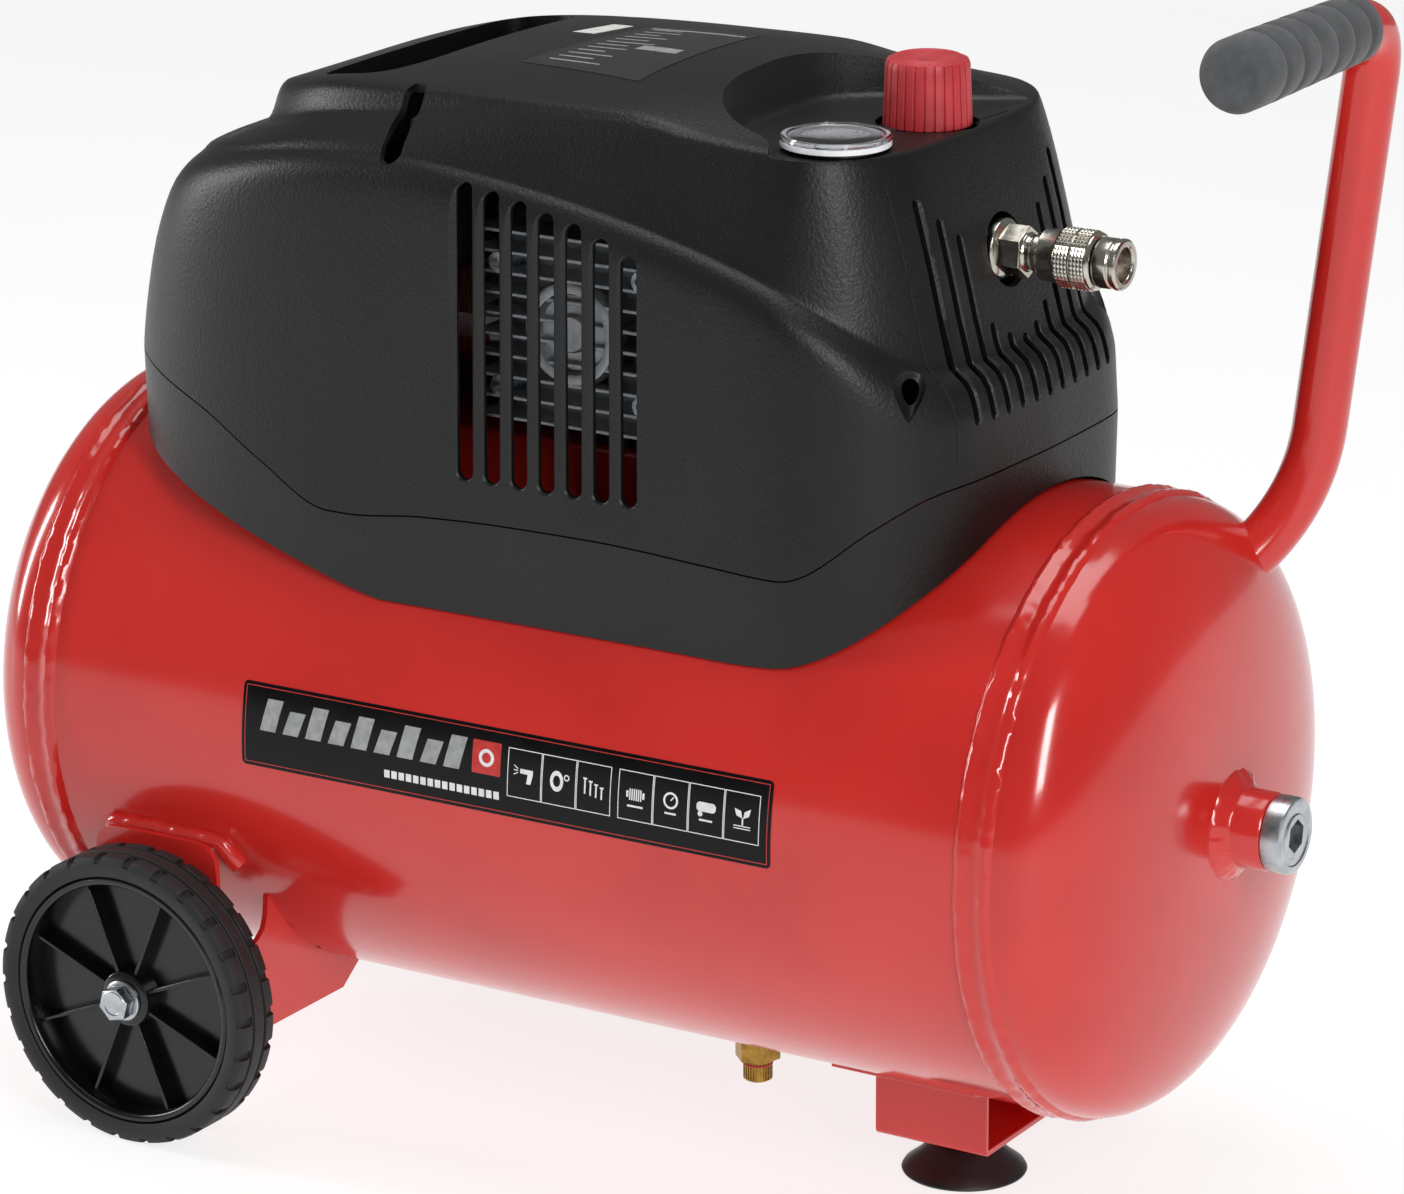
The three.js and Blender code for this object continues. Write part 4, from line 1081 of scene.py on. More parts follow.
# ------------------------------------------------------------------ tow handle
def build_handle():
    grip = span("handle_grip")
    tube = span("handle_tube")
    tube_r = 11.0
    x_top = middle(grip[0])
    z_top = middle(grip[2])
    riser_y = tube[1][1] - tube_r
    lean = math.tan(math.radians(7))

    def at(y, z):
        return Vector((x_top - lean * (z_top - z), y, z))
    bend = at(riser_y, TANK_TOP - 10)
    inward = Vector((-0.6, -0.7, -0.83))
    corners = [(bend + inward * 60, 0), (bend, 30), (at(riser_y, z_top), 24),
               (at(grip[1][0] + 5, z_top), 0)]
    path = rounded_path(corners, 14)
    painted("handle_tube_bent", swept(path, tube_r, 40), "handle_tube", angle=60)

    front, rear = grip[1]
    front_r, rear_r = 14.7, 13.3
    bore = tube_r + 0.3
    profile = [(0, front), (front_r - 4.6, front), (front_r - 3.0, front + 0.5),
               (front_r - 1.2, front + 2.0), (front_r - 0.3, front + 4.4)]
    grooves = [front + 21 + 15 * i for i in range(6)]
    for y in grooves:
        share = (y - front) / (rear - front)
        r = front_r + (rear_r - front_r) * share
        profile += [(r, y - 3.0), (r - 0.3, y - 1.9), (r - 1.5, y - 0.9), (r - 1.5, y + 0.9),
                    (r - 0.3, y + 1.9), (r, y + 3.0)]
    profile += [(rear_r, rear - 1.0), (rear_r - 0.6, rear), (bore, rear), (bore, front + 5),
                (0, front + 4.7)]
    piece("handle_grip_foam", turned(profile, "y", (x_top, 0, z_top), 96), FOAM,
          slot="grip_foam", replaces=["handle_grip"], angle=50)


build_handle()


# ------------------------------------------------------------------ cover shell
# Plan of the cover's front half from its left end to its right end, at full size.
PLAN_LEFT = [(0.0, 0.0), (1.0, -36.0), (6.0, -60.0), (20.0, -80.0), (42.0, -96.0),
             (72.0, -105.5), (108.0, -109.6), (150.0, -110.0)]
PLAN_RIGHT = [(110.0, -110.0), (76.0, -110.0), (54.0, -107.5), (33.0, -98.0), (17.0, -83.5),
              (6.0, -65.0), (1.5, -42.0), (0.0, 0.0)]
PLAN_STEPS = 4
FRONT_STEPS = 18


def spline(points, steps):
    """Points of a smooth curve through the given ones, steps to a span."""
    made = []
    for i in range(len(points) - 1):
        p0 = points[max(i - 1, 0)]
        p1, p2 = points[i], points[i + 1]
        p3 = points[min(i + 2, len(points) - 1)]
        for k in range(steps):
            t = k / steps
            made.append(tuple(
                0.5 * (2 * b + (c - a) * t + (2 * a - 5 * b + 4 * c - d) * t * t
                       + (3 * b - a - 3 * c + d) * t ** 3)
                for a, b, c, d in zip(p0, p1, p2, p3)))
    made.append(points[-1])
    return made


def cover_ring(left, right, side, left_corner, right_corner, height):
    """A ring round the cover. Height is a function of x; corners scale the plan's ends."""
    share = side / FULL_SIDE
    start = [(left + x * left_corner, y * share) for x, y in spline(PLAN_LEFT, PLAN_STEPS)]
    end = [(right - x * right_corner, y * share) for x, y in spline(PLAN_RIGHT, PLAN_STEPS)]
    between = []
    for k in range(1, FRONT_STEPS):
        t = k / FRONT_STEPS
        between.append((start[-1][0] * (1 - t) + end[0][0] * t, -side))
    half = start + between + end
    other = [(x, -y) for x, y in half[1:-1]][::-1]
    return [Vector((x, y, height(x, y))) for x, y in half + other]


# Heights along the cover, all from the floor, at x in the row frame.
parting = eased([(-229, 321), (-205, 318), (-190, 315), (-162, 306.6), (-132, 290.7),
                 (-98, 274.6), (-90, 274.6), (-52, 278.6), (-11, 280.4), (27, 280.7),
                 (79, 278.5), (112, 276.8), (119, 278.5), (146, 299), (163, 310.5),
                 (173, 313.5)])
ledge = eased([(-215, 372), (-205, 388), (-192, 401), (-175, 406.5), (-163, 409), (-105, 419),
               (-63, 421), (-35, 419), (3, 414), (50, 405), (99, 391), (120, 380),
               (137, 368), (150, 357), (158, 353)])
brow = eased([(-174, 412), (-162, 418), (-140, 424), (-117, 430.5), (-73, 436.5),
              (-15, 442), (31, 443), (63, 439.5), (95, 437.7), (129, 436), (137, 435)])
rim_step = eased([(-172, 15), (-150, 13.5), (-120, 11.5), (-73, 8.5), (-15, 4.5), (31, 3.6),
                  (63, 2.6), (100, 1.6), (137, 1.2)])
crown_line = eased([(-174, 426), (-160, 431), (-140, 439), (-110, 445), (-75, 449.5),
                    (-35, 452.3), (10, 454.5), (45, 454.6), (80, 452), (104, 447.5),
                    (124, 441.5), (137, 436.5)])


def top_height(x, y):
    """The cover's upper surface: rim height at the edge, crown height in the middle."""
    edge = brow(x) + 0.6 + rim_step(x)
    swell = 1 - min(1.0, abs(y) / 80.0) ** 2.4
    return edge + (crown_line(x) - edge) * swell


SKIRT_BOTTOM = 225.0
FULL_LEFT, FULL_RIGHT, FULL_SIDE = -229, 173, 110.0
SKIRT_RINGS = [(104.5, 0.0), (106.5, 0.4), (109.0, 0.8)]

# Each ring's left, right and side reach, its corners' scale at both ends, and its height:
# over the ledge line, or over the brow line with a share of the rim's step.
LEDGE_RINGS = [(-216.5, 170.5, 109.2, 1.0, 0.98, -13), (-211.5, 169, 107.8, 0.97, 0.96, -6.5),
               (-205.5, 166, 105.0, 0.94, 0.94, -2.2), (-200.5, 163, 102.0, 0.91, 0.93, 0.0),
               (-198, 160.8, 100.3, 0.9, 0.92, 0.9), (-196, 159.6, 99.4, 0.9, 0.9, 3.5)]
RIM_RINGS = [(-172, 138.2, 87.6, 0.86, 0.5, -1.0, 0.0), (-170, 137.2, 86.0, 0.85, 0.48, 0.6, 0.0),
             (-168.6, 136.2, 84.6, 0.85, 0.48, 0.6, 0.3),
             (-167.2, 135.2, 83.0, 0.85, 0.47, 0.6, 0.72),
             (-164.6, 133.4, 80.4, 0.85, 0.46, 0.6, 0.95)]


def cover_rings(inset):
    """Rings from below the skirt up to the crown, all drawn in by inset."""
    rings = []

    def ring(left, right, side, left_corner, right_corner, height):
        rings.append(cover_ring(left + inset, right - inset, side - inset, left_corner,
                                right_corner, height))
    low = SKIRT_BOTTOM - inset
    drop = inset * 0.9
    for side, share in SKIRT_RINGS:
        ring(FULL_LEFT, FULL_RIGHT, side, 1.0, 1.0,
             lambda x, y, s=share: low + s * (parting(x) - low))
    for lift in (-0.8, 0.8):
        ring(FULL_LEFT, FULL_RIGHT, FULL_SIDE, 1.0, 1.0, lambda x, y, d=lift: parting(x) + d)
    for share in (0.2, 0.4, 0.6, 0.78):
        left = -228.6 + 11 * share ** 2
        ring(left, FULL_RIGHT - 2 * share, FULL_SIDE - 0.6 * share, 1.0, 1.0,
             lambda x, y, s=share: parting(x) * (1 - s) + (ledge(x) - 8) * s)
    for *reach, lift in LEDGE_RINGS:
        ring(*reach, lambda x, y, d=lift: ledge(x) + d)
    for share in (0.25, 0.5, 0.75):
        ring(-196 + 23 * share, 159.6 - 21 * share, 99.4 - 11 * share, 0.9 - 0.04 * share,
             0.9 - 0.4 * share,
             lambda x, y, s=share: (ledge(x) + 3.5) * (1 - s) + (brow(x) - drop) * s)
    for *reach, lift, step in RIM_RINGS:
        ring(*reach, lambda x, y, d=lift, k=step: brow(x) + d + k * rim_step(x) - drop)
    for share in (0, 0.2, 0.4, 0.6, 0.8, 0.93):
        ring(-160.4 + 66 * share, 130.4 - 80 * share, 76.4 * (1 - share), 0.84 - 0.5 * share,
             0.45 - 0.2 * share, lambda x, y: top_height(x, y) - drop)
    return rings


def made_solid(bm):
    """Turns a closed mesh right side out and cuts it into triangles."""
    if bm.calc_volume(signed=True) < 0:
        bmesh.ops.reverse_faces(bm, faces=bm.faces)
    bmesh.ops.triangulate(bm, faces=bm.faces)


def cover_solid(inset):
    """The whole cover as one filled shape, drawn in by inset, in metres."""
    bm, loops = bridged(cover_rings(inset))
    crown = bm.faces.new(loops[-1])
    bmesh.ops.triangulate(bm, faces=[crown])
    faced_out(bm)
    resized(bm)
    form = object_of("cover_form", bm)
    fine = form.modifiers.new("fine_surface", "SUBSURF")
    fine.levels = 1
    fine.render_levels = 1
    settled(form)
    bm = bmesh.new()
    bm.from_mesh(form.data)
    bmesh.ops.holes_fill(bm, edges=[e for e in bm.edges if e.is_boundary], sides=0)
    faced_out(bm)
    made_solid(bm)
    bm.to_mesh(form.data)
    bm.free()
    return form


def as_tool(*shapes):
    """One cutting object made of separate shapes, drawn in millimetres."""
    whole = bmesh.new()
    for bm in shapes:
        tidy_mesh(bm)
        made_solid(bm)
        resized(bm)
        take_in(whole, bm)
    return object_of("tool", whole)


SLOT_ARC = 12
SLOT_WIDTH = 7.3
MOUTH = 0.7


def slot_outline(x, z_low, z_high, width):
    """The (x, z) outline of an upright slot with round ends."""
    half = width / 2
    points = []
    for end, turn in ((z_high - half, 0.0), (z_low + half, math.pi)):
        for i in range(SLOT_ARC + 1):
            angle = turn + math.pi * i / SLOT_ARC
            points.append((x + half * math.cos(angle), end + half * math.sin(angle)))
    return points


def surface_at(cover, start, direction):
    """Where a line from start first meets the cover, in millimetres."""
    found, place, _, _ = cover.ray_cast(Vector(start) * MM, Vector(direction))
    return Vector(place) / MM if found else None


def broken_slot(cover, x, z_low, z_high, facing):
    """A slot cutter through the front or rear wall, with a chamfer at its mouth."""
    rings = []
    for depth, grow in ((16.0, 0.0), (MOUTH, 0.0), (-2.0, MOUTH + 2.0)):
        ring = []
        plain = slot_outline(x, z_low, z_high, SLOT_WIDTH)
        wide = slot_outline(x, z_low - grow, z_high + grow, SLOT_WIDTH + 2 * grow)
        for (_, level), (u, z) in zip(plain, wide):
            wall = surface_at(cover, (x, facing * 300, level), (0, -facing, 0))
            ring.append(Vector((u, wall.y - facing * depth, z)))
        rings.append(ring)
    return capped_rings(rings)


SLOT_TOPS = (416, 414, 411.7, 408.6, 405.9, 401.7, 396.3)
SLOT_PITCH = 12.7


def front_slot_cutters(cover):
    cutters = []
    for i, top in enumerate(SLOT_TOPS):
        x = PUMP_X + (i - 3) * SLOT_PITCH
        for facing in (-1, 1):
            cutters.append(broken_slot(cover, x, TANK_TOP + 0.7, top, facing))
    return cutters


GRILLE_PITCH = 10.7
GRILLE_WIDTH = 3.9
GRILLE_TOPS = (419, 410, 402, 366, 360, 357.5, 360, 366, 402, 410, 419)
GRILLE_LOW = 334.0
GRILLE_MOUTH = 0.5


def grille_cutters(cover):
    """Cutters for the bent slots: each follows the end wall down over its kink."""
    cutters = []
    for i, top in enumerate(GRILLE_TOPS):
        y = (i - 5) * GRILLE_PITCH
        heights = [GRILLE_LOW, GRILLE_LOW + 1.4, 340, 346, 350, 354]
        heights += [354 + (top - 1.4 - 354) * k / 3 for k in (1, 2, 3)] + [top]
        rings = []
        for k, z in enumerate(heights):
            half = GRILLE_WIDTH / 2 * (0.4 if k in (0, len(heights) - 1) else 1.0)
            x = surface_at(cover, (400, y, z), (-1, 0, 0)).x
            wide = half + GRILLE_MOUTH + 2
            rings.append([Vector(p) for p in (
                (x - 14, y - half, z), (x - GRILLE_MOUTH, y - half, z), (x + 2, y - wide, z),
                (x + 2, y + wide, z), (x - GRILLE_MOUTH, y + half, z), (x - 14, y + half, z))])
        cutters.append(capped_rings(rings))
    return cutters


def outline_points(corners, z, steps=6):
    """A rounded outline in plan from (x, y, radius) corners."""
    points = []
    count = len(corners)
    for i, (x, y, radius) in enumerate(corners):
        here = Vector((x, y, z))
        before = Vector((*corners[i - 1][:2], z)) - here
        after = Vector((*corners[(i + 1) % count][:2], z)) - here
        start = here + before.normalized() * min(radius, before.length * 0.49)
        end = here + after.normalized() * min(radius, after.length * 0.49)
        if radius <= 0:
            points.append(here)
            continue
        for k in range(steps + 1):
            t = k / steps
            points.append(start * (1 - t) ** 2 + here * 2 * t * (1 - t) + end * t * t)
    return points


PANEL_EDGE = [(92, -76, 10), (100, -130, 0), (200, -130, 0), (200, 66, 0), (134, 60, 6),
              (112, 43, 14), (74, 31, 16), (57, 12, 16), (57, -46, 20), (70, -68, 16)]
PANEL_HUB = Vector((120, -30, 0))


def grown(corners, hub, z, grow, lengthwise=1.0):
    """A rounded outline in plan, grown away from its hub."""
    points = []
    for p in outline_points(corners, z):
        away = Vector((p.x - hub.x, (p.y - hub.y) * lengthwise, 0)).normalized()
        points.append(p + away * grow)
    return points


PANEL_DROP = 1.3
PANEL_WALL = [(0.0, -4.6), (0.8, -1.8), (2.4, 0.0), (6.0, 2.0), (10.0, 4.4), (16.0, 9.0),
              (34.0, 20.0)]


def panel_cutter(wall):
    """The room over the control panel, with a softened foot and lip to its wall."""
    floor = PANEL_Z - PANEL_DROP - wall
    return capped_rings([grown(PANEL_EDGE, PANEL_HUB, floor + up, grow + wall)
                         for up, grow in PANEL_WALL])


RECESS_EDGE = [(-129, -62, 7), (-100, -67, 20), (-90, -44, 16), (-88, 62, 10), (-96, 70, 8),
               (-124, 70, 10)]
RECESS_HUB = Vector((-109, 3, 0))
RECESS_WALL = [(410, -6.0), (411, -3.4), (414, -1.2), (419, 0.0), (432, 0.5), (475, 1.6)]


def recess_cutter(wall):
    """The finger recess behind the cover's carrying bar, with a rounded floor."""
    return capped_rings([grown(RECESS_EDGE, RECESS_HUB, z - wall, grow + wall, 0.4)
                         for z, grow in RECESS_WALL])


def side_prism(points):
    """A prism right across the cover from an outline in the side view."""
    reach = COVER_SIDE + 20
    return extruded([(x, -reach, z) for x, z in points], (0, 2 * reach, 0))


def parting_points(shift):
    return [(x, parting(x) + shift) for x in range(-240, 192, 4)]


def skirt_edge_points():
    low = eased([(-240, 287.5), (-216, 283), (-190, 275), (-156, 263), (-110, 248.5),
                 (-84, 241), (-70, 238.8), (-20, 238.4), (60, 238.4), (112, 239), (180, 239)])
    return [(x, low(x)) for x in range(-240, 190, 6)]


def almond(centre, half_sizes):
    """A pointed oval pocket."""
    bm = bmesh.new()
    bmesh.ops.create_icosphere(bm, subdivisions=3, radius=1.0)
    for v in bm.verts:
        pinch = 1 - 0.75 * abs(v.co.z) ** 1.5
        v.co = Vector((v.co.x * half_sizes[0] * pinch, v.co.y * half_sizes[1] * pinch,
                       v.co.z * half_sizes[2])) + Vector(centre)
    return bm


def hole_cutters():
    """Round holes for the coupler, the gauge and the knob, and the screw pockets."""
    under = PANEL_Z - 8
    outlet = circle_points((120, 0, OUTLET_Z), 14.5, "x", 48)
    gauge = circle_points((GAUGE_X, GAUGE_Y, under), GAUGE_R - 1.0, "z", 64)
    knob = circle_points((KNOB_X, 0, under), KNOB_R + 2.7, "z", 64)
    cutters = [extruded(outlet, (40, 0, 0)), extruded(gauge, (0, 0, 30)),
               extruded(knob, (0, 0, 40))]
    for facing in (-1, 1):
        low, high = sorted((facing * (COVER_SIDE + 3), facing * 77.0))
        outline = slot_outline(-70, 418.5, 447, 9.6)
        cutters.append(extruded([(u, low, z) for u, z in outline], (0, high - low, 0)))
        cutters.append(almond((154, facing * 82, 356.5), (6.2, 12.5, 17.0)))
    return cutters


def rear_cutters():
    """Openings of the rear wall for the switch and the cable gland."""
    housing = span("switch_housing")
    gland = span("cable_gland")
    bm = bmesh.new()
    add_box(bm, (housing[0][0] + 2.6, housing[0][1] - 2.6), (COVER_SIDE - 20, COVER_SIDE + 5),
            (housing[2][0] + 2.6, housing[2][1] - 2.6))
    centre = (middle(gland[0]), COVER_SIDE - 20, middle(gland[2]))
    return [bm, extruded(circle_points(centre, 8.4, "y", 40), (0, 30, 0))]


def tank_cutter(clearance):
    radius = TANK_R + clearance
    return extruded(circle_points((LEFT_SEAM - 30, 0, AXIS_Z), radius, "x", 144),
                    (RIGHT_SEAM - LEFT_SEAM + 60, 0, 0))


COVER_MERGE = 2e-5
COVER_CREASE = 34
COVER_WALL = 3.0


def finished_shell(made, name, replaces):
    made.name = name
    made.data.name = name
    made.data.materials.clear()
    made.data.materials.append(COVER_ABS)
    bm = bmesh.new()
    bm.from_mesh(made.data)
    bmesh.ops.remove_doubles(bm, verts=bm.verts, dist=COVER_MERGE)
    bmesh.ops.dissolve_degenerate(bm, edges=bm.edges, dist=COVER_MERGE)
    bm.to_mesh(made.data)
    bm.free()
    finish_edges(made, angle=COVER_CREASE)
    even = made.modifiers.new("even_shading", "WEIGHTED_NORMAL")
    even.keep_sharp = True
    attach(made, PIECE_BODY)
    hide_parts(replaces)


CORNER_LINE_Y = -65.0


def mould_line_paths(cover):
    """Thin raised lines where the mould's slides met, laid on the cover's surface."""
    upright = []
    for i in range(36):
        place = surface_at(cover, (400, CORNER_LINE_Y, 322 + 3 * i), (-1, 0, 0))
        if place:
            upright.append(place)
    flat = []
    for i in range(9):
        place = surface_at(cover, (131 + 0.25 * i, 13.6 + 2.35 * i, 600), (0, 0, -1))
        flat.append(place)
    return [("cover_mould_line_corner", upright), ("cover_mould_line_panel", flat)]


def build_cover():
    """Upper cover and skirt, both cut from one shell at the parting line."""
    shell = taken_from(cover_solid(0), as_tool(panel_cutter(0), recess_cutter(0)))
    core = taken_from(cover_solid(COVER_WALL),
                      as_tool(panel_cutter(COVER_WALL), recess_cutter(COVER_WALL)))
    taken_from(shell, core)
    lower = shell.copy()
    lower.data = shell.data.copy()
    bpy.context.scene.collection.objects.link(lower)

    under = [(190, 200), (-240, 200)]
    over = [(190, 480), (-240, 480)]
    taken_from(shell, as_tool(side_prism(parting_points(0.35) + under)))
    bpy.context.view_layer.update()
    lines = mould_line_paths(shell)
    slots = front_slot_cutters(shell) + grille_cutters(shell)
    taken_from(shell, as_tool(*slots))
    taken_from(shell, as_tool(*hole_cutters(), *rear_cutters()))
    finished_shell(shell, "cover_upper_moulded", "cover_upper")

    taken_from(lower, as_tool(side_prism(parting_points(-0.35) + over)))
    taken_from(lower, as_tool(side_prism(skirt_edge_points() + under)))
    taken_from(lower, as_tool(tank_cutter(1.2)))
    finished_shell(lower, "cover_skirt_moulded", "cover_skirt")

    for name, path in lines:
        piece(name, swept(path, 0.32, 8), COVER_ABS, angle=80)


build_cover()


# ------------------------------------------------------------------ controls and outlet
def ribbed(bm, centre, axis, pick, count, every, depth):
    """Pushes every so many slices of the picked faces outwards as ribs."""
    a, b = SQUARE_TO[axis]
    ribs = []
    for f in bm.faces:
        mid = f.calc_center_median()
        turn = math.atan2(mid[b] - centre[b], mid[a] - centre[a]) % FULL_TURN
        if pick(mid) and int(turn / FULL_TURN * count) % every != 0:
            ribs.append(f)
    made = bmesh.ops.extrude_face_region(bm, geom=ribs)
    bmesh.ops.delete(bm, geom=ribs, context="FACES")
    for v in points_in(made):
        out = Vector([0.0, 0.0, 0.0])
        out[a] = v.co[a] - centre[a]
        out[b] = v.co[b] - centre[b]
        v.co += out.normalized() * depth


def build_knob():
    low, high = KNOB[2]
    root = KNOB_R - 0.9
    skirt = low - 2.8
    profile = [(5.3, low), (root - 3.5, low), (root - 3.5, skirt), (root, skirt),
               (root - 0.2, low + 3), (root - 1.0, high - 5.2),
               (root - 1.0, high - 3.6), (root - 1.8, high - 1.6), (root - 3.6, high - 0.5),
               (root - 5.0, high - 0.1), (root - 6.5, high - 0.9), (0, high - 1.1),
               (0, high - 7.5), (5.3, high - 7.5)]
    centre = (KNOB_X, 0, 0)
    count = 27 * 5
    bm = turned(profile, "z", centre, count)
    faced_out(bm)

    def pick(mid):
        return math.hypot(mid.x - KNOB_X, mid.y) > root - 1.6 and mid.z > skirt + 0.5
    ribbed(bm, centre, "z", pick, count, 5, 0.8)
    piece("regulator_knob_ribbed", bm, RED_ABS, "regulator_knob", "red_plastic",
          ["regulator_knob"], bevel=0.25, segments=2, angle=35)


def build_gauge():
    low, high = GAUGE[2]
    centre = (GAUGE_X, GAUGE_Y, 0)
    r = GAUGE_R
    profile = [(0, low + 0.9), (r - 2.2, low + 0.9), (r - 2.2, low), (r, low), (r, high - 1.2),
               (r - 0.5, high - 0.3), (r - 1.4, high), (r - 2.6, high - 0.1),
               (r - 3.2, high - 0.7), (r - 6, high - 0.35), (r / 2, high - 0.1), (0, high)]
    piece("gauge_lens_moulded", turned(profile, "z", centre, 96), LENS, slot="clear_lens",
          replaces=["gauge_lens"], angle=25)

    base = span("gauge_case")[2][0]
    seat = PANEL_Z + 0.3
    can = r - 2.6
    profile = [(0, base), (can - 1, base), (can, base + 1),
               (can, seat - 0.1), (can - 0.7, seat + 0.7), (0, seat + 0.7)]
    piece("gauge_case_pressed", turned(profile, "z", centre, 80), GLOSS_BLACK,
          slot="gloss_black", replaces=["gauge_case"])
    rim = [(can - 0.6, seat), (r - 0.2, seat), (r - 0.2, seat + 2.2), (can - 0.6, seat + 2.2)]
    piece("gauge_rim_white", turned(rim, "z", centre, 80), DIAL, bevel=0.2)
    face = seat + 0.72
    plate = turned([(0, face), (can - 1.3, face), (can - 1.3, face + 0.12), (0, face + 0.12)],
                   "z", centre, 80)
    piece("gauge_dial_plate", plate, DIAL)
    draw_dial(face + 0.14, can - 2.0)


def draw_dial(z, radius):
    ticks = bmesh.new()
    for i in range(31):
        long_tick = i % 5 == 0
        inner = radius - (2.6 if long_tick else 1.5)
        half = 0.22 if long_tick else 0.12
        verts = add_box(ticks, (inner, radius), (-half, half), (z, z + 0.05))
        turn = Matrix.Rotation(math.radians(-135 - 9 * i + 45), 3, "Z")
        bmesh.ops.rotate(ticks, cent=(0, 0, 0), matrix=turn, verts=verts)
        bmesh.ops.translate(ticks, vec=(GAUGE_X, GAUGE_Y, 0), verts=verts)
    piece("gauge_dial_marks", ticks, NEEDLE)
    sector = bmesh.new()
    turns = [math.radians(-48 + 8 * i) for i in range(10)]

    def arc(r):
        return [(GAUGE_X + r * math.cos(a), GAUGE_Y + r * math.sin(a), z) for a in turns]
    add_extruded(sector, arc(radius - 3.0) + arc(radius - 6.4)[::-1], (0, 0, 0.05))
    piece("gauge_dial_red_band", sector, RED_INK)


def build_coupler():
    centre = (0, 0, OUTLET_Z)
    tip = COUPLER[0][1]
    sleeve_from, sleeve_to = SLEEVE[0]
    hex_from = COVER_RIGHT - 22
    profile = [(4.6, COUPLER[0][0]), (6.5, COUPLER[0][0]), (6.5, hex_from - 4),
               (11.5, hex_from - 4), (12.2, hex_from - 3.4), (12.2, hex_from - 1), (11, hex_from),
               (8, hex_from + 0.4), (8, hex_from + 10), (7.2, hex_from + 11),
               (7.2, hex_from + 13), (8, hex_from + 14), (8, sleeve_to + 0.3), (9.6, sleeve_to + 0.5),
               (10.0, sleeve_to + 1.4), (10.0, tip - 4.4), (9.2, tip - 3.8), (9.2, tip - 3.0),
               (10.2, tip - 2.4), (10.2, tip - 0.8), (9.4, tip), (7.4, tip), (6.6, tip - 0.8),
               (6.2, tip - 6), (4.6, tip - 9)]
    bm = turned(profile, "x", centre, 72)
    points = circle_points((hex_from + 0.3, 0, OUTLET_Z), 10.4, "x", 6, 0.45)
    add_extruded(bm, points, (9.6, 0, 0))
    piece("coupler_body_plated", bm, NICKEL, slot="nickel", replaces=["coupler_body"],
          bevel=0.25, angle=35)

    r = half_of(SLEEVE[2])
    a, b = sleeve_from, sleeve_to
    profile = [(8.3, a), (r - 2.2, a), (r - 1.4, a + 0.8), (r - 1.4, a + 6.6), (r - 1.1, a + 8.0),
               (r - 0.6, a + 8.4)]
    bands = [(a + 8.8, a + 14.9), (a + 15.9, a + 22.0)]
    for low, high in bands:
        profile += [(r - 0.35, low + (high - low) * k / 4) for k in range(5)]
        profile += [(r - 1.0, high + 0.25), (r - 1.0, high + 0.55)]
    profile += [(r - 0.5, b - 1.3), (r - 0.6, b - 0.8), (r - 1.2, b - 0.3),
                (r - 1.8, b), (8.3, b)]
    bm = turned(profile, "x", centre, 40)
    faced_out(bm)

    def in_band(mid):
        off = math.hypot(mid.y, mid.z - OUTLET_Z)
        return off > r - 0.8 and any(low < mid.x < high for low, high in bands)
    grips = [f for f in bm.faces if abs(f.normal.x) < 0.05 and in_band(f.calc_center_median())]
    for v in bmesh.ops.poke(bm, faces=grips)["verts"]:
        out = Vector((0, v.co.y, v.co.z - OUTLET_Z)).normalized()
        v.co += out * 0.5
    piece("coupler_sleeve_knurled", bm, NICKEL, "coupler_sleeve", "nickel",
          ["coupler_sleeve"], angle=18, tidy=False)


def build_cylinder_head():
    """Die-cast head: level cooling fins on a plate, with a round boss and four screws."""
    (x0, x1), (y0, y1), (z0, z1) = HEAD_FINS
    bm = bmesh.new()
    add_box(bm, (x0 + 2, x1 - 2), (y1 - 7, y1), (z0 + 1, z1 - 1))
    count = 10
    for i in range(count):
        z = CRANK_Z + (i - (count - 1) / 2) * 8.4
        verts = add_box(bm, (x0, x1), (y0, y1 - 6), (z - 1.2, z + 1.2))
        front = [v for v in verts if v.co.y < y0 + 1]
        bmesh.ops.scale(bm, vec=(1, 1, 0.7), space=Matrix.Translation((0, 0, -z)), verts=front)
    piece("cylinder_head_fins", bm, ALUMINIUM, slot="cast_aluminium",
          replaces=["cylinder_head"], bevel=0.4, tidy=False)
    profile = [(0, y0 - 0.4), (7, y0 - 0.4), (7.6, y0 + 0.4), (8, y0 + 3), (15, y0 + 3.4),
               (16.5, y0 - 0.2), (18.6, y0 - 0.8), (20.4, y0 - 0.2), (21.6, y0 + 2),
               (22, y1 - 8), (0, y1 - 8)]
    boss = turned(profile, "y", (PUMP_X, 0, CRANK_Z), 64)
    piece("cylinder_head_boss", boss, ALUMINIUM, slot="cast_aluminium", angle=40)
    screws = bmesh.new()
    for dx in (-33, 33):
        for dz in (-25, 25):
            centre = (PUMP_X + dx, 0, CRANK_Z + dz)
            add_turned(screws, [(0, y0 + 2.2), (1.8, y0 + 2.2), (2.4, y0 - 0.6), (4.2, y0 - 0.6),
                                (4.6, y0), (4.6, y0 + 14), (0, y0 + 14)], "y", centre, 24)
    piece("cylinder_head_screws", screws, ZINC, slot="zinc_steel")


build_knob()
build_gauge()
build_coupler()
build_cylinder_head()


# ------------------------------------------------------------------ labels
LABEL_LEFT, LABEL_RIGHT = -132.8, 117.9
LABEL_LOW, LABEL_HIGH = math.radians(-2.3), math.radians(13.8)


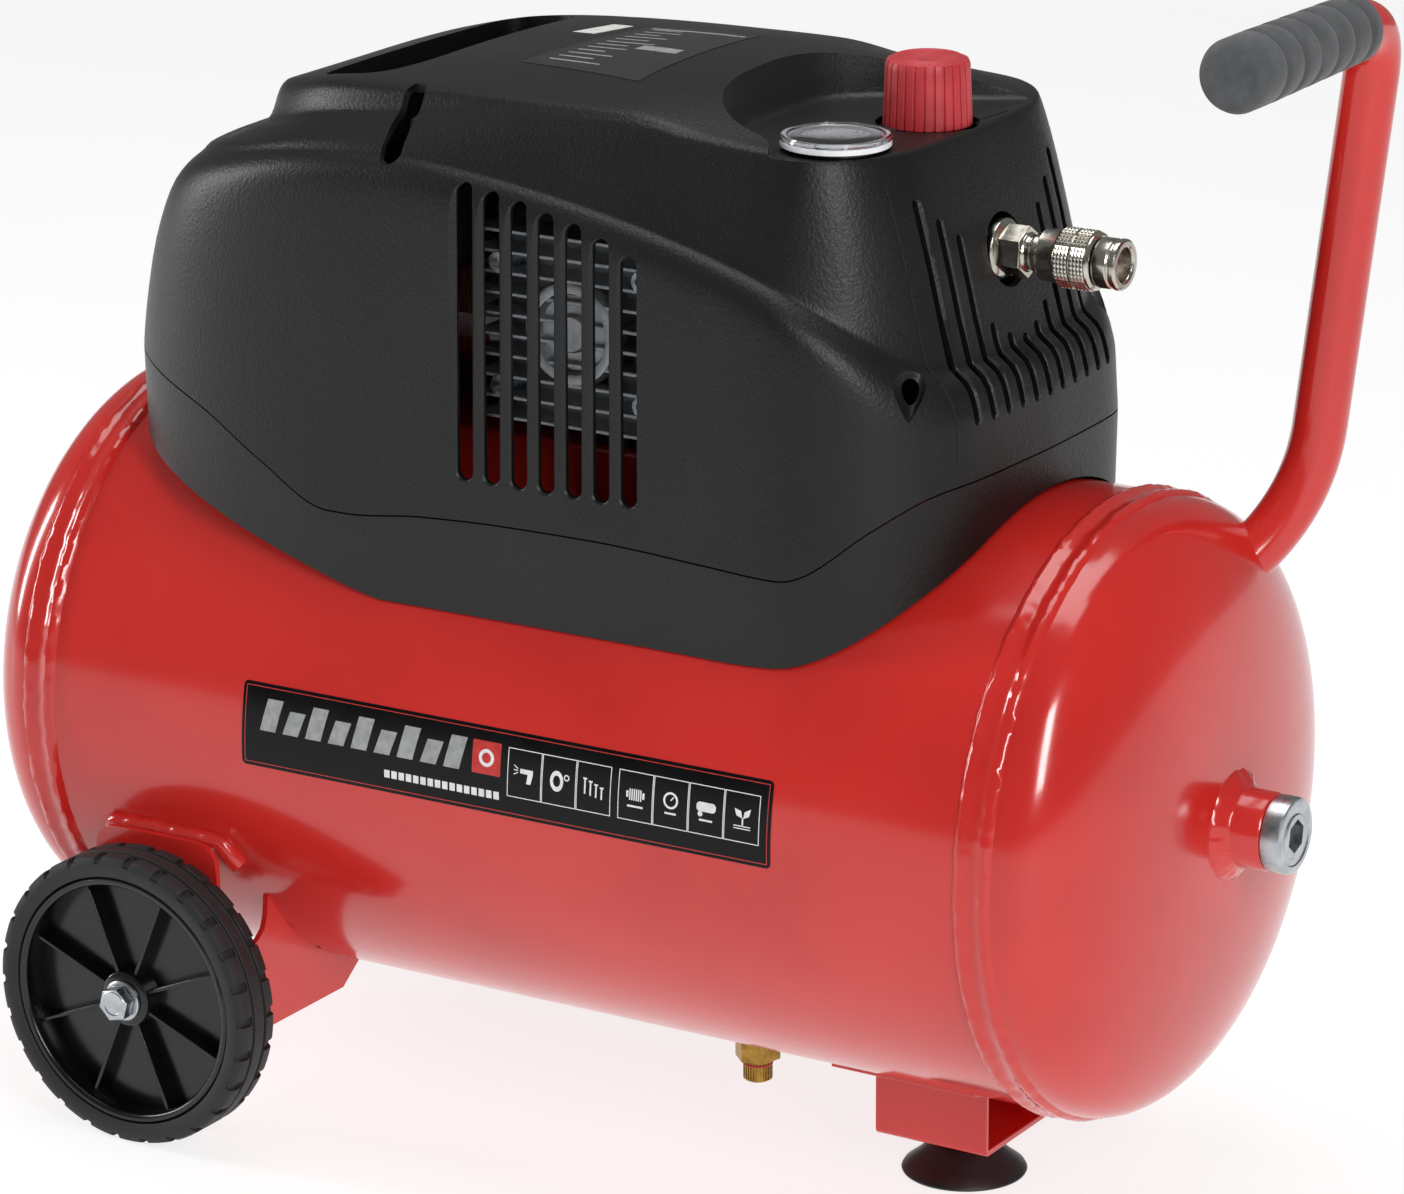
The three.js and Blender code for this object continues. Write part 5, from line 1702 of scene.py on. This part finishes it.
def rounded_rectangle(u0, u1, v0, v1, radius, steps=5):
    points = []
    corners = [(u1, v1, 0), (u0, v1, 90), (u0, v0, 180), (u1, v0, 270)]
    for u, v, turn in corners:
        cu = u - radius if u == u1 else u + radius
        cv = v - radius if v == v1 else v + radius
        for k in range(steps + 1):
            angle = math.radians(turn + 90 * k / steps)
            points.append((cu + radius * math.cos(angle), cv + radius * math.sin(angle)))
    return points


def disc(u, v, radius, count):
    turns = [FULL_TURN * i / count for i in range(count)]
    return [(u + radius * math.cos(turn), v + radius * math.sin(turn)) for turn in turns]


INK_LIFT, INK_THICK = 0.2, 0.03


def add_flat(bm, outline, lift=INK_LIFT, thick=INK_THICK):
    """A flat printed shape lying in u and v, raised by lift."""
    add_extruded(bm, [(u, v, lift) for u, v in outline], (0, 0, thick))


def add_bar(bm, u0, u1, v0, v1):
    add_flat(bm, [(u0, v0), (u1, v0), (u1, v1), (u0, v1)])


def add_frame(bm, u0, u1, v0, v1, band=0.35):
    """A thin printed rectangle."""
    add_bar(bm, u0, u1, v0, v0 + band)
    add_bar(bm, u0, u1, v1 - band, v1)
    add_bar(bm, u0, u0 + band, v0 + band, v1 - band)
    add_bar(bm, u1 - band, u1, v0 + band, v1 - band)


def add_ring(bm, u, v, half_u, half_v, band, lift=INK_LIFT):
    """A printed oval band."""
    top = lift + INK_THICK
    ring = turned([(1 - band, lift), (1, lift), (1, top), (1 - band, top)], "z", (0, 0, 0), 24)
    bmesh.ops.scale(ring, vec=(half_u, half_v, 1), verts=ring.verts)
    bmesh.ops.translate(ring, vec=(u, v, 0), verts=ring.verts)
    take_in(bm, ring)


def wrapped(name, bm, finish):
    """Bends a flat drawing round the tank's front and makes a piece of it."""
    for v in range(-3, 28, 3):
        bmesh.ops.bisect_plane(bm, geom=bm.verts[:] + bm.edges[:] + bm.faces[:], dist=1e-5,
                               plane_co=(0, v, 0), plane_no=(0, 1, 0))
    bmesh.ops.triangulate(bm, faces=bm.faces)
    for vert in bm.verts:
        u, v, w = vert.co
        angle = v / TANK_R
        radius = TANK_R + w
        vert.co = Vector((u, -radius * math.cos(angle), AXIS_Z + radius * math.sin(angle)))
    piece(name, bm, finish)


def pictograms(bm, places, low, high):
    """Plain pictures in the label's boxes: tools, tyre, nails, motor, dial, tank and leaf."""
    mid = (low + high) / 2

    def flat(points):
        add_flat(bm, points)

    def line(u0, v0, u1, v1, half=0.35):
        along = Vector((u1 - u0, v1 - v0)).normalized() * half
        side = (-along.y, along.x)
        flat([(u0 + side[0], v0 + side[1]), (u0 - side[0], v0 - side[1]),
              (u1 - side[0], v1 - side[1]), (u1 + side[0], v1 + side[1])])
    gun, tyre, nails, motor, dial, tank, leaf = places
    flat([(gun - 2, mid + 2.2), (gun + 4, mid + 2.2), (gun + 4, mid + 0.4), (gun + 3, mid - 3.6),
          (gun + 1, mid - 3.6), (gun + 1.6, mid + 0.2), (gun - 2, mid + 0.4)])
    for k in (-1.2, 0.0, 1.2):
        line(gun - 5, mid + 1.4 + 1.6 * k, gun - 3, mid + 1.3 + 0.6 * k, 0.2)
    add_ring(bm, tyre - 1, mid, 3.1, 4.2, 0.45)
    add_ring(bm, tyre + 3.6, mid + 2, 1.3, 1.3, 0.4)
    for k in range(4):
        u = nails - 4 + 2.6 * k
        line(u, mid - 2.8 - 0.4 * k, u, mid + 3.4 - 0.9 * k)
        line(u - 0.9, mid + 3.4 - 0.9 * k, u + 0.9, mid + 3.4 - 0.9 * k)
    for k in range(6):
        line(motor - 2.5 + k, mid - 1.6, motor - 2.5 + k, mid + 3.0, 0.3)
    flat(rounded_rectangle(motor - 4.2, motor - 3.2, mid - 0.6, mid + 2, 0.3))
    flat(rounded_rectangle(motor + 3.2, motor + 4.2, mid - 0.6, mid + 2, 0.3))
    for u0, u1 in ((motor - 3.6, motor + 3.6), (dial - 2.6, dial + 2.6), (tank - 3, tank + 3)):
        add_bar(bm, u0, u1, mid - 4.4, mid - 3.6)
    add_ring(bm, dial, mid + 1.2, 3.4, 3.4, 0.26)
    line(dial, mid + 1.2, dial + 1.4, mid + 2.8, 0.25)
    flat(rounded_rectangle(tank - 4.4, tank + 4.4, mid - 0.6, mid + 3.2, 1.6))
    flat(disc(tank - 2.6, mid - 1.6, 1.1, 14))
    flat([(leaf - 3.4, mid + 3.4), (leaf - 0.4, mid + 2.6), (leaf + 0.2, mid - 0.2),
          (leaf - 2.4, mid + 0.6)])
    flat([(leaf + 4.0, mid + 3.9), (leaf + 1.2, mid + 2.4), (leaf + 0.6, mid - 0.4),
          (leaf + 3.2, mid + 0.8)])
    line(leaf + 0.4, mid - 3, leaf + 0.4, mid - 0.2)
    for k in (0, 1):
        line(leaf - 3.6, mid - 3.4 - k, leaf + 4, mid - 3.4 - k, 0.2)


BAR_COUNT, BAR_PITCH = 9, 11.2
BOX_PITCH, BOX_GAP = 16.2, 3.2


def build_label():
    low, high = LABEL_LOW * TANK_R, LABEL_HIGH * TANK_R
    left, right = LABEL_LEFT, LABEL_RIGHT
    film = bmesh.new()
    add_flat(film, rounded_rectangle(left, right, low, high, 2.0), 0.05, 0.15)
    wrapped("label_film", film, LABEL)

    edge = bmesh.new()
    add_frame(edge, left + 1.4, right - 1.4, low + 1.4, high - 1.4)
    wrapped("label_edge_line", edge, RED_INK)

    bars = bmesh.new()
    block_low, block_high = high - 19.5, high - 6.0
    start = left + 9
    wide, lean = 7.6, 3.4
    for i in range(BAR_COUNT):
        u = start + i * BAR_PITCH
        top = block_high if i % 2 == 0 else block_high - 3.6
        add_flat(bars, [(u, block_low), (u + wide, block_low), (u + wide + lean, top),
                        (u + lean, top)])
    wrapped("label_grey_bars", bars, GREY_INK)

    square = bmesh.new()
    square_left = start + BAR_COUNT * BAR_PITCH + 2.5
    square_right = square_left + 13.5
    add_flat(square, rounded_rectangle(square_left, square_right, block_low, block_high, 0.6))
    wrapped("label_red_square", square, RED_INK)

    print_ink = bmesh.new()
    mid_u, mid_v = square_left + 6.75, (block_low + block_high) / 2
    add_ring(print_ink, mid_u, mid_v, 3.6, 3.6, 0.4, 0.24)
    for i in range(16):
        u = square_left - 42 + i * 3.5
        add_bar(print_ink, u, u + 2.6, low + 6.2, low + 9.4)
    box_low, box_high = low + 8.6, high - 6.6
    places = []
    u = right - 5 - 4 * BOX_PITCH - BOX_GAP - 3 * BOX_PITCH
    for count in (3, 4):
        for k in range(count):
            u0 = u + k * BOX_PITCH
            add_frame(print_ink, u0 + 0.1, u0 + BOX_PITCH - 0.1, box_low, box_high)
            places.append(u0 + BOX_PITCH / 2)
        u += count * BOX_PITCH + BOX_GAP
    pictograms(print_ink, places, box_low, box_high)
    wrapped("label_white_print", print_ink, WHITE_INK)


def laid_on_cover(name, bm, finish):
    """Drops a flat drawing onto the cover's upper surface."""
    cover = bpy.data.objects["cover_upper_moulded"]
    bpy.context.view_layer.update()
    for vert in bm.verts:
        above = Vector((vert.co.x * MM, vert.co.y * MM, 1.0))
        found, place, _, _ = cover.ray_cast(above, Vector((0, 0, -1)))
        surface = place.z / MM if found else top_height(vert.co.x, vert.co.y)
        vert.co.z += surface
    piece(name, bm, finish)


def build_rating_label():
    """A film plate of small print, laid along the cover's top, and a paper sticker."""
    corners = [(-47.5, -40.5), (15.5, -53.4), (15.8, 39.3), (-36.4, 43.9)]
    origin = Vector(corners[0])
    across = Vector(corners[1]) - origin
    along = Vector(corners[3]) - origin

    def spot(s, t):
        skew = (Vector(corners[2]) - origin - across - along) * s * t
        return origin + across * s + along * t + skew

    def add_patch(bm, s0, s1, t0, t1, lift=0.26, thick=INK_THICK, cells=2):
        sheet = bmesh.ops.create_grid(bm, x_segments=cells, y_segments=cells, size=0.5)["verts"]
        for v in sheet:
            p = spot(s0 + (s1 - s0) * (v.co.x + 0.5), t0 + (t1 - t0) * (v.co.y + 0.5))
            v.co = Vector((p.x, p.y, lift))
        faces = list({f for v in sheet for f in v.link_faces})
        lifted = bmesh.ops.extrude_face_region(bm, geom=faces, use_keep_orig=True)
        bmesh.ops.translate(bm, vec=(0, 0, thick), verts=points_in(lifted))

    film = bmesh.new()
    add_patch(film, 0, 1, 0, 1, 0.1, 0.12, 8)
    laid_on_cover("rating_plate_film", film, RATING)
    rows = bmesh.new()
    for i in range(12):
        t = 0.1 + 0.07 * i
        length = (0.72, 0.5, 0.64, 0.4, 0.58, 0.46)[i % 6]
        add_patch(rows, 0.12, 0.12 + length * 0.6, t, t + 0.016)
    add_patch(rows, 0.5, 0.86, 0.42, 0.5)
    add_patch(rows, 0.06, 0.95, 0.9, 0.93, cells=4)
    laid_on_cover("rating_plate_print", rows, GREY_INK)

    sticker = bmesh.new()
    add_extruded(sticker, [(-62, 20, 0.1), (-50, 17.5, 0.1), (-46, 41, 0.1), (-57, 43.5, 0.1)],
                 (0, 0, 0.12))
    laid_on_cover("paper_sticker", sticker, PAPER)


build_label()
build_rating_label()


# ------------------------------------------------------------------ rear controls and small parts
refined("switch_housing", GLOSS_BLACK, 0.6, "gloss_black")
refined("power_rocker", RED_ABS, 0.5, "red_plastic")
refined("cable_gland", RUBBER, 0.5, "black_rubber")
refined("pump_saddle", RED, 0.5, "red_enamel")
for screw_place, reach in (("front_left", 9), ("front_right", 22), ("rear_left", -9),
                           ("rear_right", -22)):
    refined(f"cover_screw_{screw_place}", STEEL, 0.2, "steel", inward=reach)


# ------------------------------------------------------------------ carried-over nodes
SLOT_FINISH = {
    "red_enamel": RED, "black_cover": COVER_ABS, "gloss_black": GLOSS_BLACK, "tyre": TYRE,
    "black_rubber": RUBBER, "grip_foam": FOAM, "zinc_steel": ZINC, "brass": BRASS,
    "nickel": NICKEL, "cast_aluminium": ALUMINIUM, "steel": STEEL, "winding_lacquer": WINDING,
    "red_plastic": RED_ABS, "clear_lens": LENS, "needle_paint": NEEDLE,
}


def dress_cad_nodes():
    """Gives every carried-over node the finish of its slot."""
    for entry in frame["record"]["subparts"]:
        made = frame["nodes"][entry["node"]]
        made.data.materials.clear()
        made.data.materials.append(SLOT_FINISH[entry["material_slot"]])


dress_cad_nodes()
